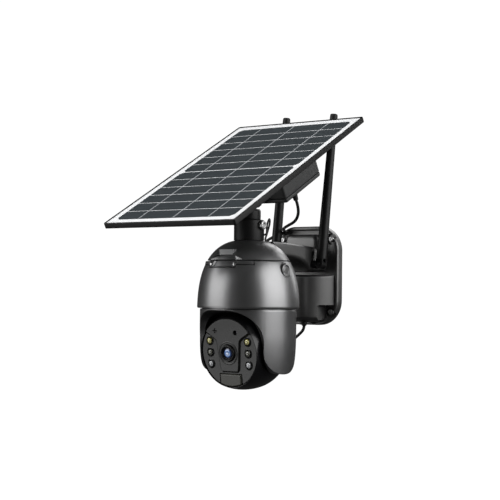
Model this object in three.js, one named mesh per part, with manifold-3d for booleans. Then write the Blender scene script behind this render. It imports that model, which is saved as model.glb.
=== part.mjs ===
// Solar-powered pan-and-tilt security camera on a wall bracket.
// Millimetres, +Z up. The origin is on the back of the wall plate, at its centre;
// the wall is the plane Y = 0 and the camera stands out from it towards -Y.
import * as THREE from 'three';
import { mergeVertices } from 'three/addons/utils/BufferGeometryUtils.js';
import Module from 'manifold-3d';

const wasm = await Module();
wasm.setup();

// ---------------------------------------------------------------- driving dimensions
const GAP = 0.3;                        // clearance between pieces that touch
const PLATE = { w: 94, h: 120, t: 11, r: 30 };
const SCREW = { x: 36, z: 44, head: 9, shank: 4.5 };
const CASE = { depth: 27, top: 1, bottom: -58 };
const AXIS_Y = -125;                    // the dome's vertical axis
const SKIRT_Z = -39.2;                  // lower edge of the dome
const DOME = { r: 59, h: 79, power: 2.6, draft: 0.0005, wall: 2.6, seam: 54.2 };
const NECK = { r: 17.5, bore: 12.3, foot: SKIRT_Z + DOME.h - 1.2, top: 62.5 };
const PANEL = { w: 185, l: 277, t: 6.6, lip: 2.6, bar: 9, tilt: 28.7, y: -149.1, z: 120.4 };
const BOX = { w: 100, v0: 7, v1: 84.5, depth: 49.2, lid: 5 };
const HINGE = { y: -131, z: 84, r: 7.6, tongue: 12, ear: 5 };
const WHIP = { x: 34.5, y: -28, z: 13.2, up: 183.8, base: 6.4, tip: 4.7, back: 5.96, knuckle: 5.2 };
const YOKE = { r: 55.6, arm: 41.2, bottom: -73.6, side: 30.5 };
const HEAD = { z: -45.8, r: 47, front: 35.8, stretch: 66.5, side: 40, wall: 2.4, tilt: 7.5 };
const FACE_R = 39.2;
const LAMP = { x: 26.9, pitch: 13.25, r: 3.6 };
const PAN_GEAR = { module: 1.5, teeth: 40, pinion: 10, z: 17, t: 5 };
const TILT_GEAR = { module: 0.75, teeth: 36, pinion: 9, x: 32.2, t: 3.4 };
const LEAD_R = 1.8;
const OUTLET = { x: 5, y: -20, z: -58 };
const AXIS_SEGMENTS = 24;               // round the dome, the yoke and the head

// ---------------------------------------------------------------- finishes
const finish = (color, roughness, metalness) =>
  new THREE.MeshStandardMaterial({ color, roughness, metalness });
const CHARCOAL = finish(0x3a3b3d, 0.42, 0.2);
const BLACK = finish(0x17181a, 0.45, 0);
const RUBBER = finish(0x101010, 0.8, 0);
const STEEL = finish(0xb9bcc0, 0.3, 1);
const CELL = finish(0x2a2d35, 0.15, 0.1);
const WHITE = finish(0xe8e8e6, 0.5, 0);
const BOARD = finish(0x1d5a38, 0.5, 0);
const NYLON = finish(0xd9d6c8, 0.5, 0);
const GLASS = finish(0x1a2550, 0.05, 0);
const LAMP_WARM = finish(0xd8cf8a, 0.2, 0);
const LAMP_WHITE = finish(0xe6e8ea, 0.2, 0);
const LAMP_DARK = finish(0x3b3f38, 0.2, 0);
const SMOKED = finish(0x53554c, 0.6, 0);

// ---------------------------------------------------------------- solids
// A closed three.js geometry as a manifold solid: shared vertices merged, slivers dropped,
// and turned right side out when its volume comes out negative.
function solid(geometry) {
  const bare = new THREE.BufferGeometry();
  bare.setAttribute('position', geometry.attributes.position.clone());
  if (geometry.index) bare.setIndex(geometry.index.clone());
  const merged = mergeVertices(bare, 1e-4);
  const point = merged.attributes.position.array;
  const index = merged.index.array;
  const kept = [];
  let volume = 0;
  for (let i = 0; i < index.length; i += 3) {
    const [a, b, c] = [index[i], index[i + 1], index[i + 2]];
    if (a === b || b === c || c === a) continue;
    kept.push(a, b, c);
    const [pa, pb, pc] = [a, b, c].map((k) => new THREE.Vector3().fromArray(point, 3 * k));
    volume += pa.dot(pb.cross(pc));
  }
  if (volume < 0) kept.reverse();
  return new wasm.Manifold(new wasm.Mesh({
    numProp: 3,
    vertProperties: new Float32Array(point),
    triVerts: new Uint32Array(kept),
  }));
}

function geometryOf(body) {
  const mesh = body.getMesh();
  const geometry = new THREE.BufferGeometry();
  geometry.setAttribute('position', new THREE.BufferAttribute(mesh.vertProperties, 3));
  geometry.setIndex(new THREE.BufferAttribute(mesh.triVerts, 1));
  geometry.computeVertexNormals();
  return geometry;
}

const AXES = { x: [0, Math.PI / 2, 0], y: [Math.PI / 2, 0, 0], z: [0, 0, 0] };

// A turned solid: outline of [radius, height] points about Z, or laid along X or -Y.
function turned(outline, segments = 20, axis = 'z') {
  const geometry = new THREE.LatheGeometry(outline.map(([r, h]) => new THREE.Vector2(r, h)), segments);
  geometry.rotateX(Math.PI / 2);
  const turn = new THREE.Euler(...AXES[axis]);
  geometry.applyMatrix4(new THREE.Matrix4().makeRotationFromEuler(turn));
  return solid(geometry);
}

// A plain bar of round section from h0 to h1 along Z, X or -Y.
const rod = (r, h0, h1, axis = 'z', segments = 16) =>
  turned([[0, h0], [r, h0], [r, h1], [0, h1]], segments, axis);

const ring = (r0, r1, h0, h1, axis = 'z', segments = 20) =>
  turned([[r0, h0], [r1, h0], [r1, h1], [r0, h1], [r0, h0]], segments, axis);

function block(x0, x1, y0, y1, z0, z1) {
  const geometry = new THREE.BoxGeometry(x1 - x0, y1 - y0, z1 - z0);
  geometry.translate((x0 + x1) / 2, (y0 + y1) / 2, (z0 + z1) / 2);
  return solid(geometry);
}

function roundedRectangle(w, h, r) {
  const shape = new THREE.Shape();
  shape.moveTo(-w / 2 + r, -h / 2);
  shape.lineTo(w / 2 - r, -h / 2).absarc(w / 2 - r, -h / 2 + r, r, -Math.PI / 2, 0);
  shape.lineTo(w / 2, h / 2 - r).absarc(w / 2 - r, h / 2 - r, r, 0, Math.PI / 2);
  shape.lineTo(-w / 2 + r, h / 2).absarc(-w / 2 + r, h / 2 - r, r, Math.PI / 2, Math.PI);
  shape.lineTo(-w / 2, -h / 2 + r).absarc(-w / 2 + r, -h / 2 + r, r, Math.PI, 1.5 * Math.PI);
  return shape;
}

// Points round a rectangle with round corners, always as many for the same number of steps.
// r rounds the lower corners, and the upper ones too where upper isn't given.
function roundedPoints(w, h, r, steps, upper = r) {
  const corners = [[1, -1, r], [1, 1, upper], [-1, 1, upper], [-1, -1, r]];
  return corners.flatMap(([sx, sy, round], k) => Array.from({ length: steps + 1 }, (_, i) => {
    const angle = (k - 1 + i / steps) * Math.PI / 2;
    return new THREE.Vector2(sx * (w / 2 - round) + round * Math.cos(angle),
      sy * (h / 2 - round) + round * Math.sin(angle));
  }));
}

// A flat outline given depth along Z, with an optional bevel kept inside both faces.
function extruded(shape, depth, bevel = 0, curveSegments = 8) {
  const geometry = new THREE.ExtrudeGeometry(shape, {
    depth: depth - 2 * bevel,
    bevelEnabled: bevel > 0,
    bevelThickness: bevel,
    bevelSize: bevel,
    bevelOffset: -bevel,
    bevelSegments: 1,
    curveSegments,
  });
  geometry.translate(0, 0, bevel);
  return solid(geometry);
}

// The same outline standing in the XZ plane, with its depth running from the wall side towards -Y.
const standing = (shape, depth, bevel = 0, curveSegments = 8) =>
  extruded(shape, depth, bevel, curveSegments).rotate([90, 0, 0]);

// A skin through equal rings of points, closed by a flat face at each end.
function lofted(rings) {
  const count = rings[0].length;
  const position = rings.flat().flatMap((p) => [p.x, p.y, p.z]);
  const index = [];
  for (let k = 0; k < rings.length - 1; k += 1) {
    for (let i = 0; i < count; i += 1) {
      const [a, b] = [k * count + i, k * count + (i + 1) % count];
      index.push(a, b, b + count, a, b + count, a + count);
    }
  }
  const last = (rings.length - 1) * count;
  for (let i = 1; i < count - 1; i += 1) {
    index.push(0, i + 1, i, last, last + i, last + i + 1);
  }
  const geometry = new THREE.BufferGeometry();
  geometry.setAttribute('position', new THREE.Float32BufferAttribute(position, 3));
  geometry.setIndex(index);
  return solid(geometry);
}

// A round cord through hand-set points.
function cord(points, radius, sides = 8) {
  const curve = new THREE.CatmullRomCurve3(points.map((p) => new THREE.Vector3(...p)));
  const steps = Math.min(80, Math.round(curve.getLength() / (5 * radius)));
  const section = new THREE.Shape();
  section.absarc(0, 0, radius, 0, 2 * Math.PI);
  const options = { steps, extrudePath: curve, curveSegments: sides };
  return solid(new THREE.ExtrudeGeometry(section, options));
}

// A spur gear blank with straight-sided teeth and running clearance, its first tooth on +X.
function gear(module, teeth, depth, bore, sides = 24) {
  const pitch = module * teeth / 2;
  const step = 2 * Math.PI / teeth;
  const shape = new THREE.Shape();
  const corners = [[-0.27, -1.1], [-0.1, 0.75], [0.1, 0.75], [0.27, -1.1]];
  for (let i = 0; i < teeth; i += 1) {
    corners.forEach(([turn, lift], k) => {
      const angle = (i + turn) * step;
      const radius = pitch + lift * module;
      const point = [radius * Math.cos(angle), radius * Math.sin(angle)];
      if (i === 0 && k === 0) shape.moveTo(...point);
      else shape.lineTo(...point);
    });
  }
  const hole = new THREE.Path();
  hole.absarc(0, 0, bore, 0, 2 * Math.PI, true);
  shape.holes.push(hole);
  return extruded(shape, depth, 0, sides / 2);
}

const root = new THREE.Group();
function piece(name, body, material, parent = root) {
  const mesh = new THREE.Mesh(geometryOf(body), material);
  mesh.name = name;
  parent.add(mesh);
  return mesh;
}

function groupAt(x, y, z, parent = root) {
  const group = new THREE.Group();
  group.position.set(x, y, z);
  parent.add(group);
  return group;
}

const degrees = THREE.MathUtils.degToRad;

// ---------------------------------------------------------------- the dome's outline
// Radius of the dome at a height above its lower edge: a superellipse with a slight draft.
function domeRadius(z, inset = 0) {
  const height = DOME.h - inset;
  const swell = Math.pow(Math.max(0, 1 - Math.pow(z / height, DOME.power)), 1 / DOME.power);
  return (DOME.r - inset) * (1 - DOME.draft * z) * swell;
}

function domeOutline(z0, z1, inset, steps) {
  const outline = [];
  for (let i = 0; i <= steps; i += 1) {
    const z = z0 + (z1 - z0) * Math.sin(Math.PI / 2 * i / steps);
    outline.push([domeRadius(z, inset), z]);
  }
  return outline;
}

// ---------------------------------------------------------------- wall bracket
const domeTop = DOME.h - DOME.wall;

const CAVITY = { half: 16, bottom: -50, top: -8 };
const CHANNEL = { half: 12, top: 32 };
const ROOT = { half: 25, bottom: 8, top: 50, depth: 22 };
const NOTCH = { x: 28, z: -35.5 };     // the case steps back here round its lower screws

function bracketCasting() {
  const plate = standing(roundedRectangle(PLATE.w, PLATE.h, PLATE.r), PLATE.t, 1.4);

  // The bulging case below the arm: wide at the plate, drawn in towards the front.
  const levels = [0, 2, 7, 14, 21, 26];
  const caseRings = levels.map((depth) => {
    const w = PLATE.w / Math.PI * Math.acos(Math.sqrt(depth / CASE.depth)) - 1;
    const lift = CASE.depth - Math.sqrt(CASE.depth ** 2 - (0.8 * depth) ** 2);
    const bottom = CASE.bottom + 0.5 * lift;
    const foot = Math.min(w - 1, PLATE.r - 1 - 0.7 * depth);
    return roundedPoints(2 * w, CASE.top - bottom, foot, 4, 5)
      .map((p) => new THREE.Vector3(p.x, -PLATE.t + 1 - depth, p.y + (CASE.top + bottom) / 2));
  });

  // The arm: straight at the dome, flared into the plate.
  const armRings = [];
  for (let i = 0; i <= 6; i += 1) {
    const y = i === 0 ? AXIS_Y : -88 + 79 * Math.sin(Math.PI / 2 * (i - 1) / 5);
    const flare = Math.max(0, (y + 42) / 33);
    const fillet = 1 - Math.sqrt(1 - Math.min(1, flare) ** 2);
    const halfWidth = 22 + 9 * fillet;
    const top = 38.4 - 4 * Math.max(0, (y + 80) / 69);
    const underFlare = Math.min(1, Math.max(0, (y + 78) / 45));
    const bottom = 20.3 - 2 * Math.max(0, (y + 80) / 69) - 14 * (1 - Math.sqrt(1 - underFlare ** 2));
    armRings.push(roundedPoints(2 * halfWidth, top - bottom, 5, 3)
      .map((p) => new THREE.Vector3(p.x, y, p.y + (top + bottom) / 2)));
  }

  const cap = turned([[0, DOME.seam], ...domeOutline(DOME.seam, DOME.h, 0, 6)], AXIS_SEGMENTS);
  const inside = turned([[0, 0], ...domeOutline(0, domeTop, DOME.wall, 7)], AXIS_SEGMENTS);
  const spigot = rod(NECK.bore - GAP, DOME.h - 4, DOME.h + 10.5, 'z');
  const wireway = rod(7, DOME.h - 20, DOME.h + 13, 'z', 20);
  const place = [0, AXIS_Y, SKIRT_Z];

  // A rounded block that the arm grows out of, between the whips.
  const rootBlock = standing(roundedRectangle(2 * ROOT.half, ROOT.top - ROOT.bottom, 7), ROOT.depth - 9, 1.6, 4)
    .translate([0, -9, (ROOT.top + ROOT.bottom) / 2]);
  let body = plate.add(lofted(caseRings)).add(lofted(armRings)).add(rootBlock);
  body = body.add(cap.translate(place)).add(spigot.translate(place));
  body = body.subtract(inside.translate(place)).subtract(wireway.translate(place));
  // Hollow from the back, with a wire channel up the plate and along the arm.
  body = body.subtract(block(-CAVITY.half, CAVITY.half, -23, 1, CAVITY.bottom, CAVITY.top));
  body = body.subtract(block(-CHANNEL.half, CHANNEL.half, -9, 1, CAVITY.top - 0.1, CHANNEL.top));
  body = body.subtract(block(-CHANNEL.half, CHANNEL.half, -110, 1, 24.5, CHANNEL.top));
  for (const x of [-SCREW.x, SCREW.x]) {
    for (const z of [-SCREW.z, SCREW.z]) {
      body = body.subtract(rod(SCREW.shank / 2 + GAP, -1, 40, 'y', 16).translate([x, 0, z]));
      body = body.subtract(rod(SCREW.head / 2 + 2.4, 6, 40, 'y', 16).translate([x, 0, z]));
    }
    // Antenna socket bores through the flared sides.
    body = body.subtract(rod(3.6, 0, 40, 'x', 12).translate([x > 0 ? 0 : -40, WHIP.y, WHIP.z]));
  }
  body = body.subtract(block(NOTCH.x, 60, -60, -PLATE.t, -80, NOTCH.z));
  body = body.subtract(block(-60, -NOTCH.x, -60, -PLATE.t, -80, NOTCH.z));
  // Cord outlet in the underside of the case.
  return body.subtract(rod(4.2, -70, -40, 'z', 16).translate([OUTLET.x, OUTLET.y, 0]));
}
piece('bracket_casting', bracketCasting(), CHARCOAL);

// One flush plate closes the hollow and its channel at the wall.
function rearCover() {
  const [wide, narrow] = [CAVITY.half - GAP, CHANNEL.half - GAP];
  return block(-wide, wide, -1.7, 0, CAVITY.bottom + GAP, CAVITY.top - GAP)
    .add(block(-narrow, narrow, -1.7, 0, CAVITY.top - 2, CHANNEL.top - GAP));
}
piece('rear_cover', rearCover(), BLACK);

['left', 'right'].forEach((side, i) => {
  ['top', 'bottom'].forEach((level, j) => {
    const outline = [[0, 0.2], [SCREW.shank / 2, 0.2], [SCREW.shank / 2, 6.3], [SCREW.head / 2, 6.3],
      [SCREW.head / 2, 8], [SCREW.head / 2 - 1.4, 9.4], [0, 9.8]];
    const drive = block(-0.6, 0.6, -12, -8.9, -2.6, 2.6).add(block(-2.6, 2.6, -12, -8.9, -0.6, 0.6));
    const screw = turned(outline, 12, 'y').subtract(drive);
    piece(`wall_screw_${level}_${side}`, screw.translate([SCREW.x * (2 * i - 1), 0,
      SCREW.z * (1 - 2 * j)]), STEEL);
  });
});

// ---------------------------------------------------------------- cords on the bracket
const grommet = turned([[LEAD_R + GAP, -3], [2.7, -3], [3.4, -1.6], [5.4, -1.6], [5.4, -GAP], [3.9, -GAP], [3.9, 5],
  [LEAD_R + GAP, 5], [LEAD_R + GAP, -3]], 16);
piece('cord_grommet', grommet.translate([OUTLET.x, OUTLET.y, OUTLET.z]), RUBBER);

const JOIN = { x: -64, y: -15.5, z0: -22, z1: 18 };
const PIGTAIL = [[5, -20, -51], [5, -20, -56], [4.9, -20, -62], [3.4, -20.2, -66.4], [-0.6, -20.6, -70.6],
  [-8, -21, -76.4], [-19, -20.6, -82.4], [-32, -19.6, -85.6], [-45, -18, -83.6], [-55.6, -16.8, -75.6],
  [-61.6, -16, -63.6], [-63.8, -15.6, -50], [-64, -15.5, -36], [-64, -15.5, JOIN.z0 - GAP]];
piece('camera_pigtail', cord(PIGTAIL, LEAD_R), RUBBER);
const socket = turned([[0, 0], [2.6, 0], [3.6, 7], [4.6, 7], [4.6, 18.6], [0, 18.6]], 20);
piece('pigtail_socket', socket.translate([JOIN.x, JOIN.y, JOIN.z0]), RUBBER);
const plug = turned([[0, 19], [5.4, 19], [5.4, 30], [3.6, 32], [2.6, 40], [0, 40]], 20);
piece('panel_lead_plug', plug.translate([JOIN.x, JOIN.y, JOIN.z0]), RUBBER);

// ---------------------------------------------------------------- dome and what it holds
const dome = groupAt(0, AXIS_Y, SKIRT_Z);

function ringSector(r0, r1, z0, z1, from, to, segments = 8) {
  const shape = new THREE.Shape();
  shape.absarc(0, 0, r1, degrees(from), degrees(to));
  shape.absarc(0, 0, r0, degrees(to), degrees(from), true);
  return extruded(shape, z1 - z0, 0, segments).translate([0, 0, z0]);
}

const HATCH = { half: 21.3, wing: 44.5, low: 46.1, step: 49.4, high: 53.9, grip: 16 };
function hatchRegion(margin) {
  const m = margin;
  return ringSector(20, 70, HATCH.low - m, HATCH.high + m, -90 - HATCH.half - m, -90 + HATCH.half + m)
    .add(ringSector(20, 70, HATCH.step - m, HATCH.high + m, -90 - HATCH.wing - m, -90 + HATCH.wing + m));
}

function domeShell() {
  const outer = turned([[0, 0], ...domeOutline(0, DOME.seam - GAP, 0, 6), [0, DOME.seam - GAP]], AXIS_SEGMENTS);
  const inner = turned([[0, -1], [domeRadius(0, DOME.wall), -1], ...domeOutline(0, DOME.seam, DOME.wall, 6),
    [0, DOME.seam]], AXIS_SEGMENTS);
  const rebate = turned([[0, HATCH.low - 1], ...domeOutline(HATCH.low - 1, DOME.seam, 1.2, 2), [0, DOME.seam]], AXIS_SEGMENTS);
  const screwBores = [-1, 1].map((side) => rod(1.3, 30, 70, 'y', 12).rotate([0, 0, side * (HATCH.half - 2)])
    .translate([0, 0, 49.6]));
  const pocket = hatchRegion(0.35).subtract(rebate);
  return outer.subtract(inner).subtract(pocket).subtract(screwBores[0]).subtract(screwBores[1])
    .subtract(rod(7.8, 50, 70, 'x', 16).translate([0, 0, 43.9]));
}
piece('dome_shell', domeShell(), CHARCOAL, dome);

function hatchCover() {
  const band = turned([[0, HATCH.low], ...domeOutline(HATCH.low, DOME.seam - GAP, -0.35, 2), [0, DOME.seam - GAP]],
    AXIS_SEGMENTS);
  const back = turned([[0, HATCH.low - 1], ...domeOutline(HATCH.low - 1, DOME.seam, 0.9, 2), [0, DOME.seam]], AXIS_SEGMENTS);
  let cover = band.subtract(back).intersect(hatchRegion(0));
  for (const turn of [-HATCH.half + 2, HATCH.half - 2]) {
    cover = cover.subtract(rod(2.2, 40, 70, 'y', 16).rotate([0, 0, turn]).translate([0, 0, 49.6]));
  }
  return cover;
}
piece('hatch_cover', hatchCover(), CHARCOAL, dome);
['left', 'right'].forEach((side, i) => {
  const turn = (HATCH.half - 2) * (2 * i - 1);
  const outline = [[0, 48.4], [1, 48.4], [1, 50.6], [1.9, 50.6], [1.9, 51.9], [0, 52.4]];
  const screw = turned(outline, 16, 'y').rotate([0, 0, turn]);
  piece(`hatch_screw_${side}`, screw.translate([0, 0, 49.6]), STEEL, dome);
});

const plugOutline = [[0, 50], [5.5, 50], [5.5, 51.5], [7.4, 51.5], [7.4, 53.2], [6.6, 54], [0, 54.3]];
piece('side_plug', turned(plugOutline, 32, 'x').translate([0, 0, 43.9]), CHARCOAL, dome);

// Floor with the pan bearing: a ring that the yoke's rim turns under.
const FLOOR = { r0: 34.6, r1: 56.1, z0: 15.6, z1: 17.6 };
const floorPlate = ring(FLOOR.r0, FLOOR.r1 - 1, FLOOR.z0, FLOOR.z1, 'z', AXIS_SEGMENTS);
piece('dome_floor', floorPlate, BLACK, dome);
piece('main_board', ring(9, 34, 34, 35.6, 'z', 20), BOARD, dome);
const speakerOutline = [[0, 0], [13, 0], [13, 3], [6, 7.6], [0, 7.6]];
piece('speaker', turned(speakerOutline, 20).translate([0, 21, 36]), BLACK, dome);
piece('reset_button', turned([[0, 35.9], [1.8, 35.9], [1.8, 39], [0, 39.4]], 16).translate([0, -28, 0]), NYLON, dome);

// ---------------------------------------------------------------- pan drive
const panReach = PAN_GEAR.module * (PAN_GEAR.teeth + PAN_GEAR.pinion) / 2 + 0.15;
const motorHolder = groupAt(-panReach, 0, 0, dome);
piece('pan_motor', ring(1.6, 7, 24.2, 33.4, 'z', 20), STEEL, motorHolder);
const panPinion = gear(PAN_GEAR.module, PAN_GEAR.pinion, PAN_GEAR.t, 0.4).rotate([0, 0, 180 / PAN_GEAR.pinion])
  .translate([0, 0, PAN_GEAR.z + 1.2]).add(rod(1.3, PAN_GEAR.z + 1.2, 30, 'z', 16));
piece('pan_pinion', panPinion, NYLON, motorHolder);

// ---------------------------------------------------------------- yoke
const yoke = groupAt(0, AXIS_Y, SKIRT_Z);

// Half of a superellipse as a closed shape in the XZ plane, wide side down.
function arch(halfWidth, height, z, power, drop) {
  const shape = new THREE.Shape();
  shape.moveTo(-halfWidth, z - drop);
  shape.lineTo(halfWidth, z - drop);
  const steps = 12;
  for (let i = 0; i <= steps; i += 1) {
    const angle = Math.PI * i / steps;
    const c = Math.cos(angle);
    const s = Math.sin(angle);
    shape.lineTo(Math.sign(c) * halfWidth * Math.abs(c) ** (2 / power), z + height * s ** (2 / power));
  }
  return shape;
}

function yokeShell() {
  const rimTop = -0.8;
  const drum = turned([[0, -90], [50.6, -90], [53.4, -70], [YOKE.r - 0.2, -40], [YOKE.r, rimTop - 1],
    [YOKE.r - 1, rimTop], [53.2, rimTop], [53.2, 13.6], [48, 15], [0, 15]], AXIS_SEGMENTS);
  const cavity = solid(new THREE.SphereGeometry(54.6, 28, 10).rotateX(Math.PI / 2)).translate([0, 0, HEAD.z])
    .intersect(block(-YOKE.arm, YOKE.arm, -60, 60, -120, 40));
  const inner = standing(arch(YOKE.arm, 41.6, HEAD.z, 2.5, 60), 140).translate([0, 70, 0]);
  const bevelRings = [0, 1].map((end) => {
    const grow = end ? 0 : 1;
    const shape = arch(YOKE.arm + grow * 6.4, 41.6 + grow * 2.6, HEAD.z, 2.6, 60);
    return shape.getPoints(1).slice(0, -1).map((p) => new THREE.Vector3(p.x, end ? -26 : -60, p.y));
  });
  const tongue = [];
  const side = new THREE.Shape();
  for (let i = 0; i <= 14; i += 1) {
    const angle = Math.PI + Math.PI * i / 14;
    const c = Math.cos(angle);
    const s = Math.sin(angle);
    tongue.push([Math.sign(c) * YOKE.side * Math.abs(c) ** (2 / 2.7),
      HEAD.z + (HEAD.z - YOKE.bottom) * Math.sign(s) * Math.abs(s) ** (2 / 2.7)]);
  }
  tongue.push([60, HEAD.z + 8], [60, 30], [-60, 30], [-60, HEAD.z + 8]);
  side.setFromPoints(tongue.map(([y, z]) => new THREE.Vector2(y, z)));
  const profile = extruded(side, 140).rotate([90, 0, 90]).translate([-70, 0, 0]);
  const bevel = lofted(bevelRings);
  let body = drum.intersect(profile).subtract(cavity).subtract(inner);
  body = body.subtract(bevel).subtract(bevel.mirror([0, 1, 0]));
  // Bosses that carry the head, and the wire passage up the middle.
  for (const turn of [0, 180]) {
    body = body.add(ring(3, 8, 36, YOKE.arm + 1, 'x', 16).rotate([0, 0, turn]).translate([0, 0, HEAD.z]));
  }
  const hub = ring(8, 26, 14, 22.5, 'z', 20);
  return body.add(hub).subtract(rod(8, 0, 30, 'z', 20));
}
piece('yoke', yokeShell(), CHARCOAL, yoke);

const panGear = gear(PAN_GEAR.module, PAN_GEAR.teeth, PAN_GEAR.t, 26 + GAP, 24).translate([0, 0, PAN_GEAR.z + 1.2]);
piece('pan_gear', panGear, NYLON, yoke);

// ---------------------------------------------------------------- camera head
const head = groupAt(0, 0, HEAD.z, yoke);
head.rotation.x = degrees(HEAD.tilt);

// The head is turned about its own sight line: blunt towards the face, round behind.
// Outline points are [radius, distance towards the face].
function headOutline(inset, from, to, steps) {
  const outline = [];
  const r = HEAD.r - inset;
  for (let i = 0; i <= steps; i += 1) {
    const y = from + (to - from) * i / steps;
    const length = y > 0 ? HEAD.stretch - inset : r;
    outline.push([r * Math.sqrt(Math.max(0, 1 - (y / length) ** 2)), y]);
  }
  return outline;
}

function headShell() {
  const rear = headOutline(0, -HEAD.r, 0, 6);
  const outer = turned([...rear, ...headOutline(0, 0, HEAD.front - 0.3, 3).slice(1), [0, HEAD.front - 0.3]], AXIS_SEGMENTS, 'y');
  const innerRear = headOutline(HEAD.wall, -HEAD.r + HEAD.wall, 0, 5);
  const inner = turned([...innerRear, ...headOutline(HEAD.wall, 0, HEAD.front + 2, 3).slice(1), [0, HEAD.front + 2]],
    AXIS_SEGMENTS, 'y');
  const rebate = rod(FACE_R + 0.3, HEAD.front - 3.4, HEAD.front + 5, 'y', AXIS_SEGMENTS);
  const slab = block(-HEAD.side, HEAD.side, -80, 80, -80, 80);
  const room = inner.intersect(block(-HEAD.side + HEAD.wall, HEAD.side - HEAD.wall, -80, 80, -80, 80));
  let body = outer.intersect(slab).subtract(room).subtract(rebate);
  body = body.subtract(rod(8.5, -60, 60, 'x', 16));
  return body;
}
piece('head_shell', headShell(), BLACK, head);

// Face panel: upper field and centre shield stand proud of the two lamp channels.
const FACE = { back: 32.8, low: 34.6, high: 36.3 };
function shieldShape() {
  const shape = new THREE.Shape();
  shape.moveTo(-10, -21.5);
  shape.lineTo(10, -21.5).quadraticCurveTo(13, -21, 13.4, -16);
  shape.lineTo(16.5, 12).quadraticCurveTo(17.5, 15, 21, 17.5);
  shape.lineTo(38, 27).lineTo(38, 44).lineTo(-38, 44).lineTo(-38, 27);
  shape.lineTo(-21, 17.5).quadraticCurveTo(-17.5, 15, -16.5, 12);
  shape.lineTo(-13.4, -16).quadraticCurveTo(-13, -21, -10, -21.5);
  return shape;
}

const LAMPS = [];
['left', 'right'].forEach((side, i) => {
  ['upper', 'middle', 'lower'].forEach((level, j) => {
    LAMPS.push({ name: `lamp_${level}_${side}`, x: LAMP.x * (2 * i - 1), z: LAMP.pitch * (1 - j),
      material: [LAMP_WARM, LAMP_DARK, LAMP_WHITE][j] });
  });
});

function facePanel() {
  const disc = rod(FACE_R, FACE.back, FACE.low, 'y', AXIS_SEGMENTS);
  const shield = standing(shieldShape(), FACE.high - FACE.low + 0.5).translate([0, -FACE.low + 0.5, 0])
    .intersect(rod(FACE_R - 0.8, 0, 60, 'y', AXIS_SEGMENTS));
  let body = disc.add(shield);
  for (const lamp of LAMPS) body = body.subtract(rod(LAMP.r + GAP, 20, 60, 'y', 16).translate([lamp.x, 0, lamp.z]));
  body = body.subtract(rod(9.9, 20, 60, 'y', 20));
  body = body.subtract(block(-15.4, 15.4, -60, -20, -60, -24.1));
  body = body.subtract(rod(2, 20, 60, 'y', 16).translate([11.8, 0, 23.5]));
  return body;
}
piece('face_panel', facePanel(), BLACK, head);

const window = rod(FACE_R - 0.3, FACE.back, FACE.low + 0.8, 'y', AXIS_SEGMENTS)
  .intersect(block(-15.1, 15.1, -60, -20, -60, -24.4));
piece('motion_window', window, SMOKED, head);
piece('light_sensor', turned([[0, 31], [1.6, 31], [1.6, 34.4], [0, 35]], 16, 'y').translate([11.8, 0, 23.5]), GLASS, head);
const barrelOutline = [[0, 20], [7, 20], [7, 28], [9.5, 28], [9.5, 38.6], [8.4, 39.4], [7, 37], [6.1, 36.2], [0, 36.2]];
piece('lens_barrel', turned(barrelOutline, 28, 'y'), BLACK, head);
const glassOutline = [[0, 36.5], [5.7, 36.5], [4.8, 37.3], [3, 38.1], [0, 38.5]];
piece('lens_glass', turned(glassOutline, 20, 'y'), GLASS, head);
piece('image_board', block(-15, 15, -19.7, -18.1, -14, 14), BOARD, head);
for (const lamp of LAMPS) {
  const outline = [[0, 31], [LAMP.r, 31], [LAMP.r, 34.8], [2.4, 36.2], [0, 36.8]];
  piece(lamp.name, turned(outline, 14, 'y').translate([lamp.x, 0, lamp.z]), lamp.material, head);
}

// ---------------------------------------------------------------- tilt drive, inside the head
const fixedGear = gear(TILT_GEAR.module, TILT_GEAR.teeth, TILT_GEAR.t, 3).rotate([90, 0, 90])
  .translate([TILT_GEAR.x, 0, HEAD.z]);
piece('tilt_gear', fixedGear, NYLON, yoke);
const tiltReach = TILT_GEAR.module * (TILT_GEAR.teeth + TILT_GEAR.pinion) / 2 + 0.1;
const tiltMotor = groupAt(0, tiltReach * Math.sin(degrees(HEAD.tilt)), tiltReach * Math.cos(degrees(HEAD.tilt)), head);
// A gap of the pinion faces the fixed gear, straight down from it when the head is at rest.
const pinionTurn = 270 - HEAD.tilt + 180 / TILT_GEAR.pinion;
const pinionBody = gear(TILT_GEAR.module, TILT_GEAR.pinion, TILT_GEAR.t, 0.3).rotate([0, 0, pinionTurn])
  .rotate([90, 0, 90]).translate([TILT_GEAR.x, 0, 0]).add(rod(0.9, 26, TILT_GEAR.x + 1, 'x', 12));
piece('tilt_pinion', pinionBody, NYLON, tiltMotor);
piece('tilt_motor', ring(1.2, 7, 19, 30, 'x', 16), STEEL, tiltMotor);

// ---------------------------------------------------------------- antennas
// Each whip folds on a pin in its elbow, and the elbow turns in its socket.
const WHIP_LEAN = { left: 0.8, right: 1.3 };

// A tapered mast over a round knuckle, slotted for the elbow's tongue and cut away beside its barrel.
function whipBody(hand) {
  const mast = turned([[0, 0], [WHIP.base, 0], [WHIP.base, 26], [WHIP.tip, WHIP.up - 3],
    [WHIP.tip - 1.6, WHIP.up], [0, WHIP.up]], 20);
  const knuckle = rod(WHIP.knuckle, -WHIP.base, WHIP.base, 'y', 20).intersect(rod(WHIP.base, -WHIP.knuckle - 1, 6));
  const beside = block(-WHIP.base - 1, -WHIP.knuckle, -10, 10, -6, 5.7).rotate([0, 0, hand > 0 ? 0 : 180]);
  const slot = block(-20, 20, -2.2, 2.2, -10, 5.2);
  return mast.add(knuckle).subtract(beside).subtract(slot).add(rod(1.3, -3, 3, 'y', 12));
}

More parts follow.
